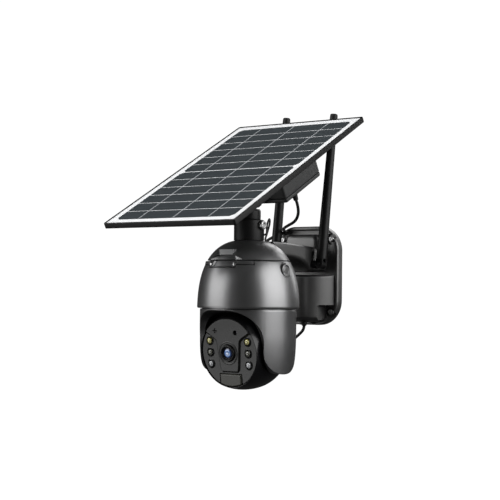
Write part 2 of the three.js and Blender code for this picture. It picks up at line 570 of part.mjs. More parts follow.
['left', 'right'].forEach((side, i) => {
  const hand = 2 * i - 1;
  const socketBody = rod(3.3, 12, 24.6, 'x', 16).add(rod(5.4, 24.3, 27, 'x', 6));
  const base = groupAt(0, WHIP.y, WHIP.z);
  base.rotation.z = i ? 0 : Math.PI;
  piece(`antenna_socket_${side}`, socketBody, STEEL, base);
  const elbow = groupAt(hand * WHIP.x, WHIP.y, WHIP.z);
  elbow.rotation.x = degrees(-WHIP.back);
  const inner = WHIP.x - 27.3;
  const barrel = rod(5, -inner, -WHIP.knuckle - 0.4, 'x', 16);
  const tongue = rod(4.6, -1.9, 1.9, 'y', 16).add(block(-inner + 0.5, 0, -1.9, 1.9, -4.2, 4.2));
  const elbowBody = barrel.add(tongue).subtract(rod(1.6, -5, 5, 'y', 12));
  piece(`antenna_elbow_${side}`, elbowBody.rotate([0, 0, i ? 0 : 180]), BLACK, elbow);
  const whip = groupAt(0, 0, 0, elbow);
  whip.rotation.y = degrees(WHIP_LEAN[side]);
  piece(`antenna_whip_${side}`, whipBody(hand), BLACK, whip);
});

// ---------------------------------------------------------------- collar, stem and tilt hinge
const neck = groupAt(0, AXIS_Y, 0);
const collarFoot = NECK.foot + 1.6;
const LOOP = { turn: 37.5, z: 45.6, r: 1.1 };
function collarBody() {
  const sleeve = turned([[NECK.bore, collarFoot], [NECK.r, collarFoot], [NECK.r, NECK.top - 1],
    [NECK.r - 0.8, NECK.top], [10.3, NECK.top], [10.3, 51.6], [NECK.bore, 51.6], [NECK.bore, collarFoot]], 32);
  const pad = rod(5.6, 13, 18.4, 'x', 16).translate([0, 0, 56.4]);
  return sleeve.add(pad.subtract(rod(11, 40, 70, 'z', 20))).subtract(rod(2.3, 5, 30, 'x', 16).translate([0, 0, 56.4]))
    .subtract(rod(1.9, 10, 30, 'x', 12).rotate([0, 0, LOOP.turn - 7]).translate([0, 0, LOOP.z]));
}
piece('clamp_collar', collarBody(), BLACK, neck);

// A thin lead loops out of the collar's side and down to the dome, behind the clamp screw.
const loop = groupAt(0, AXIS_Y, 0);
loop.rotation.z = degrees(LOOP.turn);
const COLLAR_LEAD = [[15.4, -1.9, 45.6], [18.4, -2.2, 45.7], [20.2, -2.4, 47.4], [20.4, -2.4, 51], [20.9, -2, 57],
  [22, -0.6, 61.4], [23.3, 2.6, 64], [24, 6.2, 62], [23.6, 8.4, 57.6], [22.4, 8.9, 52.6], [20.5, 8.3, 46],
  [19.2, 7.4, 42], [19, 7.2, 39.1]];
piece('collar_lead', cord(COLLAR_LEAD, LOOP.r), RUBBER, loop);

const clampOutline = [[0, 10.4], [2, 10.4], [2, 18.7], [5.2, 18.7], [5.2, 21.6], [4.4, 22.4], [0, 22.4]];
const hexSocket = rod(2, 20.6, 24, 'x', 6);
piece('clamp_screw', turned(clampOutline, 24, 'x').subtract(hexSocket).translate([0, 0, 56.4]), STEEL, neck);

function stemBody() {
  const column = turned([[0, 51], [9.9, 51], [9.9, 54], [9.1, 54], [9.1, 59], [9.9, 59], [9.9, NECK.top + GAP], [13.4, NECK.top + GAP], [13.6, 73],
    [12.4, 75], [0, 75]], 24);
  const tongueShape = block(-HINGE.tongue / 2, HINGE.tongue / 2, -HINGE.r, HINGE.r, -14, 0)
    .add(rod(HINGE.r, -HINGE.tongue / 2, HINGE.tongue / 2, 'x', 16)).translate([0, HINGE.y - AXIS_Y, HINGE.z]);
  return column.add(tongueShape)
    .subtract(rod(3.3, -20, 20, 'x', 16).translate([0, HINGE.y - AXIS_Y, HINGE.z]));
}
piece('panel_stem', stemBody(), BLACK, neck);

const hinge = groupAt(0, HINGE.y, HINGE.z);
const earIn = HINGE.tongue / 2 + GAP;
const earOut = earIn + HINGE.ear;
const knobOutline = [[0, -earOut - 4], [5, -earOut - 4], [5, -earOut - GAP], [3, -earOut - GAP], [3, earOut + GAP],
  [7.5, earOut + GAP], [8, earOut + 3], [7, earOut + 7], [0, earOut + 7.4]];
piece('tilt_knob', turned(knobOutline, 12, 'x'), BLACK, hinge);

// ---------------------------------------------------------------- solar panel
const panel = groupAt(0, PANEL.y, PANEL.z);
panel.rotation.x = degrees(PANEL.tilt);
// Height of a point of the panel group above the hinge, and its place along the panel.
const slope = degrees(PANEL.tilt);
const toPanel = (y, z) => [
  (y - PANEL.y) * Math.cos(slope) + (z - PANEL.z) * Math.sin(slope),
  -(y - PANEL.y) * Math.sin(slope) + (z - PANEL.z) * Math.cos(slope),
];
const under = -PANEL.t;
const [hingeV, hingeN] = toPanel(HINGE.y, HINGE.z);

function panelFrame() {
  const outer = block(-PANEL.w / 2, PANEL.w / 2, -PANEL.l / 2, PANEL.l / 2, under, 0);
  const grow = (inset, z0, z1) => block(-PANEL.w / 2 + inset, PANEL.w / 2 - inset, -PANEL.l / 2 + inset,
    PANEL.l / 2 - inset, z0, z1);
  return outer.subtract(grow(PANEL.bar, under - 1, 1)).subtract(grow(1.4, -4.6, -1)).subtract(grow(PANEL.lip, -1.1, 1));
}
piece('panel_frame', panelFrame(), BLACK, panel);
const laminateInset = 1.4 + GAP;
piece('panel_laminate', block(-PANEL.w / 2 + laminateInset, PANEL.w / 2 - laminateInset, -PANEL.l / 2 + laminateInset,
  PANEL.l / 2 - laminateInset, -4.3, -1.3), CELL, panel);

// Tilt bracket: a foot under the laminate, and two ears down to the hinge in front of the box.
function tiltBracket() {
  const footTop = -4.6 - 0.1;
  const foot = block(-34, 34, -40, 3, footTop - 4, footTop);
  let body = foot;
  for (const side of [-1, 1]) {
    const x0 = side > 0 ? earIn : -earOut;
    const blade = lofted([x0, x0 + HINGE.ear].map((x) => [
      new THREE.Vector3(x, hingeV - 7, hingeN), new THREE.Vector3(x, hingeV + 7, hingeN),
      new THREE.Vector3(x, 1, footTop - 3), new THREE.Vector3(x, -36, footTop - 3),
    ]));
    body = body.add(blade).add(rod(HINGE.r, x0, x0 + HINGE.ear, 'x', 16).translate([0, hingeV, hingeN]));
  }
  return body.subtract(rod(3.3, -30, 30, 'x', 16).translate([0, hingeV, hingeN]));
}
piece('tilt_bracket', tiltBracket(), BLACK, panel);

const boxShape = roundedRectangle(BOX.w, BOX.v1 - BOX.v0, 3);
const boxMiddle = (BOX.v0 + BOX.v1) / 2;
const boxTop = -4.7;
const lidTop = -BOX.depth + BOX.lid;
const boxSolid = extruded(boxShape, boxTop - lidTop - GAP, 0, 3).translate([0, boxMiddle, lidTop + GAP]);
const boxRoom = block(-BOX.w / 2 + 2.5, BOX.w / 2 - 2.5, BOX.v0 + 2.5, BOX.v1 - 2.5, lidTop - 1, boxTop - 2.5);
piece('battery_box', boxSolid.subtract(boxRoom), CHARCOAL, panel);

const GLAND = { x: 34, v: 44.8 };
const lidBody = extruded(boxShape, BOX.lid, 1, 3).translate([0, boxMiddle, -BOX.depth]);
piece('box_lid', lidBody.subtract(rod(4, -60, -30, 'z', 20).translate([GLAND.x, GLAND.v, 0])), CHARCOAL, panel);
const packShape = roundedRectangle(76, 18.4, 9.2);
const packBody = extruded(packShape, 65, 0, 5).rotate([90, 0, 0]).translate([0, boxMiddle + 32.5, -19]);
piece('battery_pack', packBody, finish(0x2f5f9e, 0.5, 0), panel);

const glandBody = turned([[LEAD_R + GAP, -13], [2.8, -13], [3.7, -5], [6, -3.2], [6, -GAP], [3.7, -GAP], [3.7, 7],
  [LEAD_R + GAP, 7], [LEAD_R + GAP, -13]], 24);
piece('lead_gland', glandBody.translate([GLAND.x, GLAND.v, -BOX.depth]), RUBBER, panel);

// The panel's lead: out of its gland, behind the left whip and down to its connector.
const PANEL_LEAD = [[34, -79.8, 87.1], [34, -77.5, 83], [33.4, -74.8, 77.6], [32, -72.4, 73], [29, -69.6, 68.8], [24, -65.6, 65.4],
  [14, -57, 62.6], [0, -47.6, 59.8], [-12, -38.5, 57.6], [-20.4, -29.6, 56], [-24.6, -22, 55], [-28.4, -16, 53.8],
  [-34.4, -13.4, 52.2], [-42, -13.2, 49.6], [-50, -13.6, 46.8], [-57, -14.2, 43], [-61.8, -14.8, 38], [-63.7, -15.3, 30], [-64, -15.5, 22], [-64, -15.5, JOIN.z1 + GAP]];
piece('panel_lead', cord(PANEL_LEAD, LEAD_R), RUBBER);

export default root;
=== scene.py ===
"""Looks of a solar-powered pan-and-tilt security camera on its wall bracket.

Sizes are in millimetres in the row frame: X to the right, -Y out of the wall, Z up.
Shapes are grids of points worked out with numpy; each function says its formula in words.
"""
import math

import bmesh
import bpy
import numpy as np
from mathutils import Matrix, Vector


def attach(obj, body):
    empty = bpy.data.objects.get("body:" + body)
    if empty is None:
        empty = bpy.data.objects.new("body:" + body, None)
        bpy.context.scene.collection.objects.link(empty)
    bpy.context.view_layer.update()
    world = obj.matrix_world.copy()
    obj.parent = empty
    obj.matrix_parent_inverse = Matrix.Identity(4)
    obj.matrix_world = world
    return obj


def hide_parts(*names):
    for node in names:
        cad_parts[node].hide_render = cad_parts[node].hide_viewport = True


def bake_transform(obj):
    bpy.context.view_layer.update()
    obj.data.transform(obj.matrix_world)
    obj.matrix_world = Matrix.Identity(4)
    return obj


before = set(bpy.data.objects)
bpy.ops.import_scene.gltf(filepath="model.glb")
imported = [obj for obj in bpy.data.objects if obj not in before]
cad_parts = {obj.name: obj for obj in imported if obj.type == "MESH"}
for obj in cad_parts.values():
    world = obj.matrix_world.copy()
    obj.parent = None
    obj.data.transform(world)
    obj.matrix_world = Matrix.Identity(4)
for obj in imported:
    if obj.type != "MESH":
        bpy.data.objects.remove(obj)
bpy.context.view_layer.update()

MM = 0.001
AXIS_Y = -125.0                     # the dome's upright axis
SKIRT = -39.2                       # height of the dome's lower edge
DOME_R, DOME_H, DOME_POWER, DRAFT, WALL = 59.0, 79.0, 2.6, 0.0005, 2.6
SEAM = 54.2                         # joint between shell and cap, above the lower edge
HEAD_Z, HEAD_R, HEAD_TILT = SKIRT - 45.8, 47.0, math.radians(7.5)
FACE_FRONT = 35.8                   # from the head's centre to its face
YOKE_R, ARM_X = 55.6, 41.2
PLATE_W, PLATE_H, PLATE_T, PLATE_CORNER = 94.0, 120.0, 11.0, 30.0
SCREW_X, SCREW_Z = 36.0, 44.0
PANEL_W, PANEL_L, PANEL_T = 185.0, 277.0, 6.6
PANEL_Y, PANEL_Z, PANEL_TILT = -149.1, 120.4, math.radians(28.7)
BOX_W, BOX_V0, BOX_V1, BOX_DEPTH, LID = 100.0, 7.0, 84.5, 49.2, 5.0
HINGE_Y, HINGE_Z = -131.0, 84.0
WHIP_X, WHIP_Y, WHIP_Z, WHIP_UP, WHIP_BACK = 34.5, -28.0, 13.2, 183.8, math.radians(5.96)
LEAD_R = 1.8


# ---------------------------------------------------------------- camera
LENS, SENSOR = 93.0, 36.0
CAMERA_PLACE = (908.5, -1305.5, -15.8)


def place_camera():
    """A long lens level with the dome, to the right of the camera's front."""
    data = bpy.data.cameras.new("camera")
    data.lens, data.sensor_width = LENS, SENSOR
    data.clip_start, data.clip_end = 0.05, 50
    camera = bpy.data.objects.new("camera", data)
    right = Vector((0.79318, 0.60889, 0.01082))
    up = Vector((0.00928, -0.02984, 0.99951))
    back = right.cross(up)
    turn = Matrix((right, up, back)).transposed().to_4x4()
    camera.matrix_world = Matrix.Translation(Vector(CAMERA_PLACE) * MM) @ turn
    bpy.context.scene.collection.objects.link(camera)
    bpy.context.scene.camera = camera


place_camera()


# ---------------------------------------------------------------- shader sums
class Wire:
    """A socket of a material. Sums of wires add the nodes that work them out."""

    def __init__(self, tree, socket=None):
        self.tree, self.socket = tree, socket

    def node(self, kind, settings=None, sockets=None, out=0):
        """A node of that kind: settings first, then the values or wires of its sockets."""
        made = self.tree.nodes.new("ShaderNode" + kind)
        for key, value in (settings or {}).items():
            if key == "stops":
                ramp = made.color_ramp.elements
                while len(ramp) < len(value):
                    ramp.new(1.0)
                for stop, (place, colour) in zip(ramp, value):
                    stop.position, stop.color = place, (*colour, 1.0)
            else:
                setattr(made, key, value)
        for key, value in (sockets or {}).items():
            if isinstance(value, Wire):
                self.tree.links.new(value.socket, made.inputs[key])
            else:
                made.inputs[key].default_value = value
        return Wire(self.tree, made.outputs[out])

    def sum(self, operation, a, b=0.0):
        return self.node("Math", {"operation": operation}, {0: a, 1: b})

    def __add__(self, other):
        return self.sum("ADD", self, other)

    __radd__ = __add__

    def __mul__(self, other):
        return self.sum("MULTIPLY", self, other)

    __rmul__ = __mul__

    def __sub__(self, other):
        return self.sum("SUBTRACT", self, other)

    def __rsub__(self, other):
        return self.sum("SUBTRACT", other, self)

    def __gt__(self, other):
        return self.sum("GREATER_THAN", self, other)

    def __lt__(self, other):
        return self.sum("LESS_THAN", self, other)

    def __abs__(self):
        return self.sum("ABSOLUTE", self)

    def __mod__(self, other):
        return self.sum("MODULO", self, other)

    def noise(self, scale, detail=2.0, stretch=None):
        """Cloudy noise of about 1/scale metres, stretched along the axes if asked."""
        place = self.place()
        if stretch:
            place = self.node("Mapping", None, {"Vector": place, "Scale": stretch})
        return self.node("TexNoise", None, {"Vector": place, "Scale": scale, "Detail": detail})

    def place(self):
        return self.node("TexCoord", out=3)

    def along(self, axis):
        """Object coordinate along an axis, in metres."""
        return self.node("SeparateXYZ", None, {0: self.place()}, out="XYZ".index(axis))

    def blend(self, share, a, b):
        """Colour a where share is 0 and b where it is 1."""
        pair = [c if isinstance(c, Wire) else (*c, 1.0) for c in (a, b)]
        return self.node("Mix", {"data_type": "RGBA"}, {0: share, 6: pair[0], 7: pair[1]}, out=2)

    def bump(self, height, strength, distance):
        return self.node("Bump", None, {"Height": height, "Strength": strength, "Distance": distance})


def new_finish(name, sockets, fixed=None):
    """A material from one Principled shader. sockets is a function that gives its wires."""
    made = bpy.data.materials.new(name)
    made.use_nodes = True
    tree = made.node_tree
    shader = next(n for n in tree.nodes if n.type == "BSDF_PRINCIPLED")
    for key, value in (fixed or {}).items():
        shader.inputs[key].default_value = value
    for key, value in sockets(Wire(tree)).items():
        tree.links.new(value.socket, shader.inputs[key])
    return made


def moulded(name, dark, light, roughness, grain=2600, depth=0.00002, coat=0.0, metallic=0.0, specular=0.5):
    """Moulded or painted plastic: two close tones in clouds, patchy gloss and a fine grain."""
    def sockets(wire):
        cloud = wire.noise(34, 3)
        fine = wire.noise(grain, 2)
        wear = wire.noise(420, 4)
        return {
            "Base Color": wire.blend(cloud * 0.7 + fine * 0.3, dark, light),
            "Roughness": roughness - 0.05 + 0.06 * cloud + 0.08 * (wear - 0.4),
            "Normal": wire.bump(fine, 0.35, depth),
        }
    fixed = {"Coat Weight": coat, "Coat Roughness": 0.22, "Metallic": metallic,
             "Specular IOR Level": specular}
    return new_finish(name, sockets, fixed)


def brushed(name, tone, roughness, stretch):
    """Turned or brushed metal: fine streaks across one axis."""
    def sockets(wire):
        streak = wire.noise(900, 3, stretch)
        return {
            "Base Color": wire.blend(streak, tuple(0.72 * c for c in tone), tone),
            "Roughness": roughness + 0.16 * streak,
            "Normal": wire.bump(streak, 0.3, 0.00002),
        }
    return new_finish(name, sockets, {"Metallic": 1.0})


CHARCOAL = moulded("charcoal_shell", (0.17, 0.17, 0.172), (0.235, 0.236, 0.238), 0.37, metallic=0.93)
BRACKET_GREY = moulded("bracket_charcoal", (0.11, 0.11, 0.11), (0.155, 0.155, 0.153), 0.42, metallic=0.9)
SATIN_BLACK = moulded("satin_black", (0.004, 0.004, 0.004), (0.008, 0.008, 0.008), 0.44, specular=0.2)
BOX_BLACK = moulded("box_black", (0.014, 0.015, 0.015), (0.024, 0.025, 0.025), 0.5, grain=1700, depth=0.00004)
HEAD_BLACK = moulded("head_black", (0.004, 0.004, 0.005), (0.008, 0.008, 0.009), 0.3, specular=0.36)
FACE_BLACK = moulded("face_black", (0.006, 0.006, 0.006), (0.011, 0.011, 0.010), 0.3, specular=0.4)
RUBBER = moulded("black_rubber", (0.004, 0.004, 0.004), (0.008, 0.008, 0.008), 0.6, grain=1500, depth=0.00003)
FRAME_BLACK = moulded("frame_black", (0.005, 0.005, 0.005), (0.010, 0.010, 0.010), 0.42, depth=0.000005,
                      specular=0.2)
STEEL = brushed("plated_steel", (0.62, 0.62, 0.62), 0.3, (1, 14, 1))
NYLON = moulded("white_nylon", (0.62, 0.60, 0.53), (0.74, 0.72, 0.65), 0.5, grain=900)
WINDOW = moulded("smoked_window", (0.030, 0.030, 0.024), (0.048, 0.048, 0.038), 0.42, grain=1800,
                 depth=0.00004)
WRAP = moulded("battery_wrap", (0.02, 0.09, 0.30), (0.03, 0.12, 0.38), 0.3, grain=300, coat=0.4)


def board_finish():
    """Green solder mask with lighter copper traces in a square lattice."""
    def sockets(wire):
        across = (abs(wire.along("X")) % 0.0028) < 0.0007
        along = (abs(wire.along("Y")) % 0.0034) < 0.0006
        trace = wire.sum("MAXIMUM", across, along)
        patch = wire.noise(260, 1) > 0.5
        return {
            "Base Color": wire.blend(trace * patch, (0.010, 0.10, 0.035), (0.045, 0.24, 0.09)),
            "Roughness": 0.42 - 0.12 * trace,
        }
    return new_finish("circuit_board", sockets, {"Coat Weight": 0.3})


BOARD = board_finish()


def cell_finish():
    """Dark silicon: fine fingers across the strip, a faint grain, glass over it."""
    def sockets(wire):
        finger = (abs(wire.along("X")) % 0.0021) < 0.00016
        grain = wire.noise(60, 4, (1, 3, 1))
        silicon = wire.blend(grain, (0.020, 0.026, 0.030), (0.040, 0.050, 0.056))
        return {
            "Base Color": wire.blend(finger * 0.4, silicon, (0.12, 0.13, 0.13)),
            "Roughness": 0.34 + 0.1 * grain,
        }
    return new_finish("silicon_cells", sockets, {"Coat Weight": 0.4, "Coat Roughness": 0.1})


CELLS = cell_finish()
BACK_SHEET = moulded("white_sheet", (0.80, 0.81, 0.82), (0.86, 0.87, 0.88), 0.5, grain=300, depth=0.000001)
RIBBON = moulded("tinned_ribbon", (0.50, 0.52, 0.54), (0.62, 0.64, 0.66), 0.38, grain=900, metallic=0.25)


LAMP_REACH, LENS_REACH = 0.0036, 0.0058     # distances in metres at which the rings of colour end


def lamp_finish(name, rim, middle, painted_glint, centres):
    """An epoxy lamp in rings by distance from its axis: a pale chip spot that is a painted highlight, a dark
    well, a pale ring that is the reflector with a painted highlight on it, and a dark edge. The chip spot also
    glows as a painted glint.
    """
    def sockets(wire):
        spread = None
        for x, y, z in centres:
            apart = wire.node("VectorMath", {"operation": "DISTANCE"}, {0: wire.place(), 1: (x, y, z)}, out=1)
            spread = apart if spread is None else wire.sum("MINIMUM", spread, apart)
        well = tuple(0.25 * c for c in rim)
        # the pale stops are painted highlights: the chip's light spot, and the reflector ring brightened by a
        # painted highlight
        stops = [(0.0, middle), (0.16, middle), (0.26, well), (0.46, well), (0.6, middle), (0.76, middle),
                 (0.9, rim), (1.0, well)]
        rings = wire.node("ValToRGB", {"stops": stops}, {0: spread * (1 / LAMP_REACH)})
        # share is 1 at the chip and fades out by 1.6 mm: this is where the painted glint glows
        share = wire.node("MapRange", None, {0: spread, 1: 0.0005, 2: 0.0016, 3: 1.0, 4: 0.0})
        speck = wire.noise(900, 2)
        return {
            "Base Color": rings,
            "Roughness": 0.12 + 0.15 * speck,
            "Emission Color": wire.blend(share, (0, 0, 0), painted_glint),
        }
    # the emission makes the chip spot glow as a painted glint
    return new_finish(name, sockets, {"Coat Weight": 1.0, "Coat Roughness": 0.03, "Emission Strength": 0.3})


# ---------------------------------------------------------------- surfaces
def rows_to_faces(count, width, start, wrap):
    """Quads between neighbouring rows of a grid of points."""
    row, column = np.meshgrid(np.arange(count - 1), np.arange(width if wrap else width - 1), indexing="ij")
    a = start + row * width + column
    b = start + row * width + (column + 1) % width
    return np.stack([a, b, b + width, a + width], -1).reshape(-1, 4)


def piece(name, skins, body, finish, stands_for=(), crease=32, wrap=True):
    """A mesh from one or more skins, each a grid [rows, points, 3] in millimetres. Its end rows are closed."""
    points, faces, start = [], [], 0
    for skin in skins:
        skin = np.asarray(skin, float)
        count, width = skin.shape[:2]
        points.append(skin.reshape(-1, 3))
        faces += rows_to_faces(count, width, start, wrap).tolist()
        if wrap:
            for row in (0, count - 1):
                ring = skin[row]
                if np.ptp(ring, 0).max() > 1e-4 and not np.allclose(skin[0], skin[-1]):
                    faces.append(list(range(start + row * width, start + (row + 1) * width)))
        start += count * width
    mesh = bpy.data.meshes.new(name)
    mesh.from_pydata((np.concatenate(points) * MM).tolist(), [], faces)
    made = bpy.data.objects.new(name, mesh)
    bpy.context.scene.collection.objects.link(made)
    tidy(made, crease)
    mesh.materials.append(finish)
    if isinstance(body, str):
        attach(made, body)
    else:
        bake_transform(made)
    if stands_for:
        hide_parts(*stands_for)
    return made


def tidy(made, crease):
    """Doubles merged, faces turned out, smooth but for edges sharper than crease degrees."""
    work = bmesh.new()
    work.from_mesh(made.data)
    bmesh.ops.remove_doubles(work, verts=work.verts, dist=2e-6)
    bmesh.ops.dissolve_degenerate(work, edges=work.edges, dist=1e-7)
    bmesh.ops.recalc_face_normals(work, faces=work.faces)
    work.to_mesh(made.data)
    work.free()
    made.data.polygons.foreach_set("use_smooth", [True] * len(made.data.polygons))
    made.data.set_sharp_from_angle(angle=math.radians(crease))


def cut(made, cutters, crease=32):
    """The piece less the cutters, which are then removed."""
    for cutter in cutters:
        change = made.modifiers.new("cut", "BOOLEAN")
        change.object, change.operation, change.solver = cutter, "DIFFERENCE", "EXACT"
    bpy.context.view_layer.update()
    shaped = made.evaluated_get(bpy.context.evaluated_depsgraph_get())
    mesh = bpy.data.meshes.new_from_object(shaped)
    made.modifiers.clear()
    made.data = mesh
    for cutter in cutters:
        bpy.data.objects.remove(cutter)
    mesh.polygons.foreach_set("use_smooth", [True] * len(mesh.polygons))
    mesh.set_sharp_from_angle(angle=math.radians(crease))


def step(value):
    """Smooth rise from 0 to 1 as the value goes from 0 to 1."""
    t = np.clip(value, 0, 1)
    return t * t * (3 - 2 * t)


def turned(profile, segments=96, axis="z"):
    """The profile's points [radius, height] carried round Z, or round X or -Y."""
    radius, height = np.asarray(profile, float).T
    angle = np.linspace(0, 2 * np.pi, segments, endpoint=False)
    round_x, round_y = np.outer(radius, np.cos(angle)), np.outer(radius, np.sin(angle))
    up = np.repeat(height[:, None], segments, 1)
    order = {"z": (round_x, round_y, up), "x": (up, round_x, round_y), "y": (round_x, -up, round_y)}
    return np.stack(order[axis], -1)


def softened(corners, radius=0.5, steps=4):
    """A profile with each inner corner rounded by a quadratic curve that starts radius before it."""
    corners = np.asarray(corners, float)
    out = [corners[:1]]
    t = np.linspace(0, 1, steps + 1)[:, None]
    for before, at, after in zip(corners, corners[1:], corners[2:]):
        arms = [before - at, after - at]
        reach = [min(radius, np.hypot(*arm) * 0.45) / max(np.hypot(*arm), 1e-9) for arm in arms]
        p, q = at + arms[0] * reach[0], at + arms[1] * reach[1]
        out.append((1 - t) ** 2 * p + 2 * t * (1 - t) * at + t ** 2 * q)
    out.append(corners[-1:])
    return np.concatenate(out)


def rounded_outline(w, h, r, steps=10):
    """Points round a rectangle whose corners are quarter circles."""
    angle = np.linspace(0, np.pi / 2, steps + 1)
    corners = [(1, -1, -0.5), (1, 1, 0), (-1, 1, 0.5), (-1, -1, 1)]
    return np.concatenate([np.stack([sx * (w / 2 - r) + r * np.cos(angle + turn * np.pi),
                                     sy * (h / 2 - r) + r * np.sin(angle + turn * np.pi)], -1)
                           for sx, sy, turn in corners])


def slab(w, h, r, profile, steps=10):
    """A rounded rectangle in XY whose edge follows profile points [inset, height], closed by flat faces."""
    rings = []
    for inset, height in profile:
        outline = rounded_outline(w - 2 * inset, h - 2 * inset, max(r - inset, 0.2), steps)
        rings.append(np.column_stack([outline, np.full(len(outline), height)]))
    return np.array(rings)


def standing(skin):
    """A skin made in XY with its height along Z, stood up so that its height points along -Y."""
    return np.stack([skin[..., 0], -skin[..., 2], skin[..., 1]], -1)


def moved(skin, x=0.0, y=0.0, z=0.0):
    return np.asarray(skin) + np.array([x, y, z])


def on_panel(skin):
    """From the panel's own frame, tilted about X, to the row frame."""
    c, s = math.cos(PANEL_TILT), math.sin(PANEL_TILT)
    x, y, z = np.moveaxis(np.asarray(skin, float), -1, 0)
    return np.stack([x, PANEL_Y + y * c - z * s, PANEL_Z + y * s + z * c], -1)


def on_head(skin):
    """From the head's own frame, nodding about X, to the row frame."""
    c, s = math.cos(HEAD_TILT), math.sin(HEAD_TILT)
    x, y, z = np.moveaxis(np.asarray(skin, float), -1, 0)
    return np.stack([x, AXIS_Y + y * c - z * s, HEAD_Z + y * s + z * c], -1)


def smooth_path(points, count):
    """A Catmull-Rom curve through the points, evenly spaced along its length."""
    p = np.asarray(points, float)
    p = np.concatenate([2 * p[:1] - p[1:2], p, 2 * p[-1:] - p[-2:-1]])
    t = np.linspace(0, 1, 24, endpoint=False)[:, None]
    parts = []
    for a, b, c, d in zip(p, p[1:], p[2:], p[3:]):
        parts.append(0.5 * (2 * b + (c - a) * t + (2 * a - 5 * b + 4 * c - d) * t ** 2
                            + (3 * b - a - 3 * c + d) * t ** 3))
    fine = np.concatenate([*parts, p[-2:-1]])
    run = np.concatenate([[0], np.cumsum(np.linalg.norm(np.diff(fine, axis=0), axis=1))])
    even = np.linspace(0, run[-1], count)
    return np.stack([np.interp(even, run, fine[:, k]) for k in range(3)], -1)


def tube(path, radius, sides=16):
    """A round section of that radius, or one radius per point, carried along a path without twist."""
    path = np.asarray(path, float)
    ahead = np.gradient(path, axis=0)
    ahead /= np.linalg.norm(ahead, axis=1)[:, None]
    across = np.cross(ahead[0], [0.3, 0.2, 0.9])
    angle = np.linspace(0, 2 * np.pi, sides, endpoint=False)
    radius = np.broadcast_to(radius, len(path))
    rings = []
    for place, direction, r in zip(path, ahead, radius):
        across = across - direction * across.dot(direction)
        across /= np.linalg.norm(across)
        other = np.cross(direction, across)
        rings.append(place + r * (np.outer(np.cos(angle), across) + np.outer(np.sin(angle), other)))
    return np.array(rings)


# ---------------------------------------------------------------- cords
JOIN_X, JOIN_Y, JOIN_LOW, JOIN_HIGH = -64.0, -15.5, -22.0, 18.0
GAP = 0.3
# Each cord's way, point by point.
PANEL_LEAD = [(34, -79.8, 87.1), (34, -77.5, 83), (33.4, -74.8, 77.6), (32, -72.4, 73), (29, -69.6, 68.8),
              (24, -65.6, 65.4), (14, -57, 62.6), (0, -47.6, 59.8), (-12, -38.5, 57.6), (-20.4, -29.6, 56),
              (-24.6, -22, 55), (-28.4, -16, 53.8), (-34.4, -13.4, 52.2), (-42, -13.2, 49.6), (-50, -13.6, 46.8),
              (-57, -14.2, 43), (-61.8, -14.8, 38), (-63.7, -15.3, 30), (-64, -15.5, 22),
              (JOIN_X, JOIN_Y, JOIN_HIGH + GAP)]
PIGTAIL = [(5, -20, -51), (5, -20, -56), (4.9, -20, -62), (3.4, -20.2, -66.4), (-0.6, -20.6, -70.6),
           (-8, -21, -76.4), (-19, -20.6, -82.4), (-32, -19.6, -85.6), (-45, -18, -83.6), (-55.6, -16.8, -75.6),
           (-61.6, -16, -63.6), (-63.8, -15.6, -50), (-64, -15.5, -36), (JOIN_X, JOIN_Y, JOIN_LOW - GAP)]
COLLAR_LEAD = [(15.4, -1.9, 45.6), (18.4, -2.2, 45.7), (20.2, -2.4, 47.4), (20.4, -2.4, 51), (20.9, -2, 57),
               (22, -0.6, 61.4), (23.3, 2.6, 64), (24, 6.2, 62), (23.6, 8.4, 57.6), (22.4, 8.9, 52.6),
               (20.5, 8.3, 46), (19.2, 7.4, 42), (19, 7.2, 39.1)]
COLLAR_TURN, COLLAR_LEAD_R = math.radians(37.5), 1.1
LEAD_SPLIT = 0.22                   # share of the panel lead's points that go into its upper piece


def path_length(path):
    return float(np.linalg.norm(np.diff(path, axis=0), axis=1).sum())


def cord_piece(name, path, body, node, **facts):
    """A rubber cord along a path. The length of its path is worked out but not used."""
    made = piece(name, [tube(path, LEAD_R, 20)], body, RUBBER, (node,))
    round(path_length(path) * MM, 4)


lead = smooth_path(PANEL_LEAD, 241)
split = int(len(lead) * LEAD_SPLIT)
top, knee, rest = [tuple(lead[k] * MM) for k in (0, split, len(lead) * 2 // 3)]
cord_piece("panel_lead_upper", lead[:split + 1], ("swivel", "panel", knee, top), "panel_lead",
           far_end="object")
cord_piece("panel_lead_lower", lead[split:], ("base", "swivel", rest, knee), "panel_lead",
           far_end="connector", with_pieces=["panel_lead_plug"])
cord_piece("pigtail_cord", smooth_path(PIGTAIL, 181), "base", "camera_pigtail", far_end="connector",
           with_pieces=["pigtail_socket"])


def collar_lead():
    """The thin lead from the clamp collar to the dome, in a frame turned about the dome's axis."""
    x, y, z = smooth_path(COLLAR_LEAD, 90).T
    c, s = math.cos(COLLAR_TURN), math.sin(COLLAR_TURN)
    path = np.stack([x * c - y * s, AXIS_Y + x * s + y * c, z], -1)
    return piece("collar_loop", [tube(path, COLLAR_LEAD_R, 16)], "base", RUBBER, ("collar_lead",))


collar_lead()


# ---------------------------------------------------------------- dome
HATCH_HALF, HATCH_WING, HATCH_LOW, HATCH_STEP = 21.3, 44.5, 46.1, 49.4
HATCH_SCREW, HATCH_SCREW_Z = 19.5, 49.6
PLUG_TURN, PLUG_Z, PLUG_R = 90.0, 43.9, 7.4


def dome_radius(z):
    """A superellipse in height with a slight draft: full at the foot, closed at the top."""
    swell = np.maximum(0, 1 - np.clip(z / DOME_H, 0, 1) ** DOME_POWER) ** (1 / DOME_POWER)
    return DOME_R * (1 - DRAFT * z) * swell


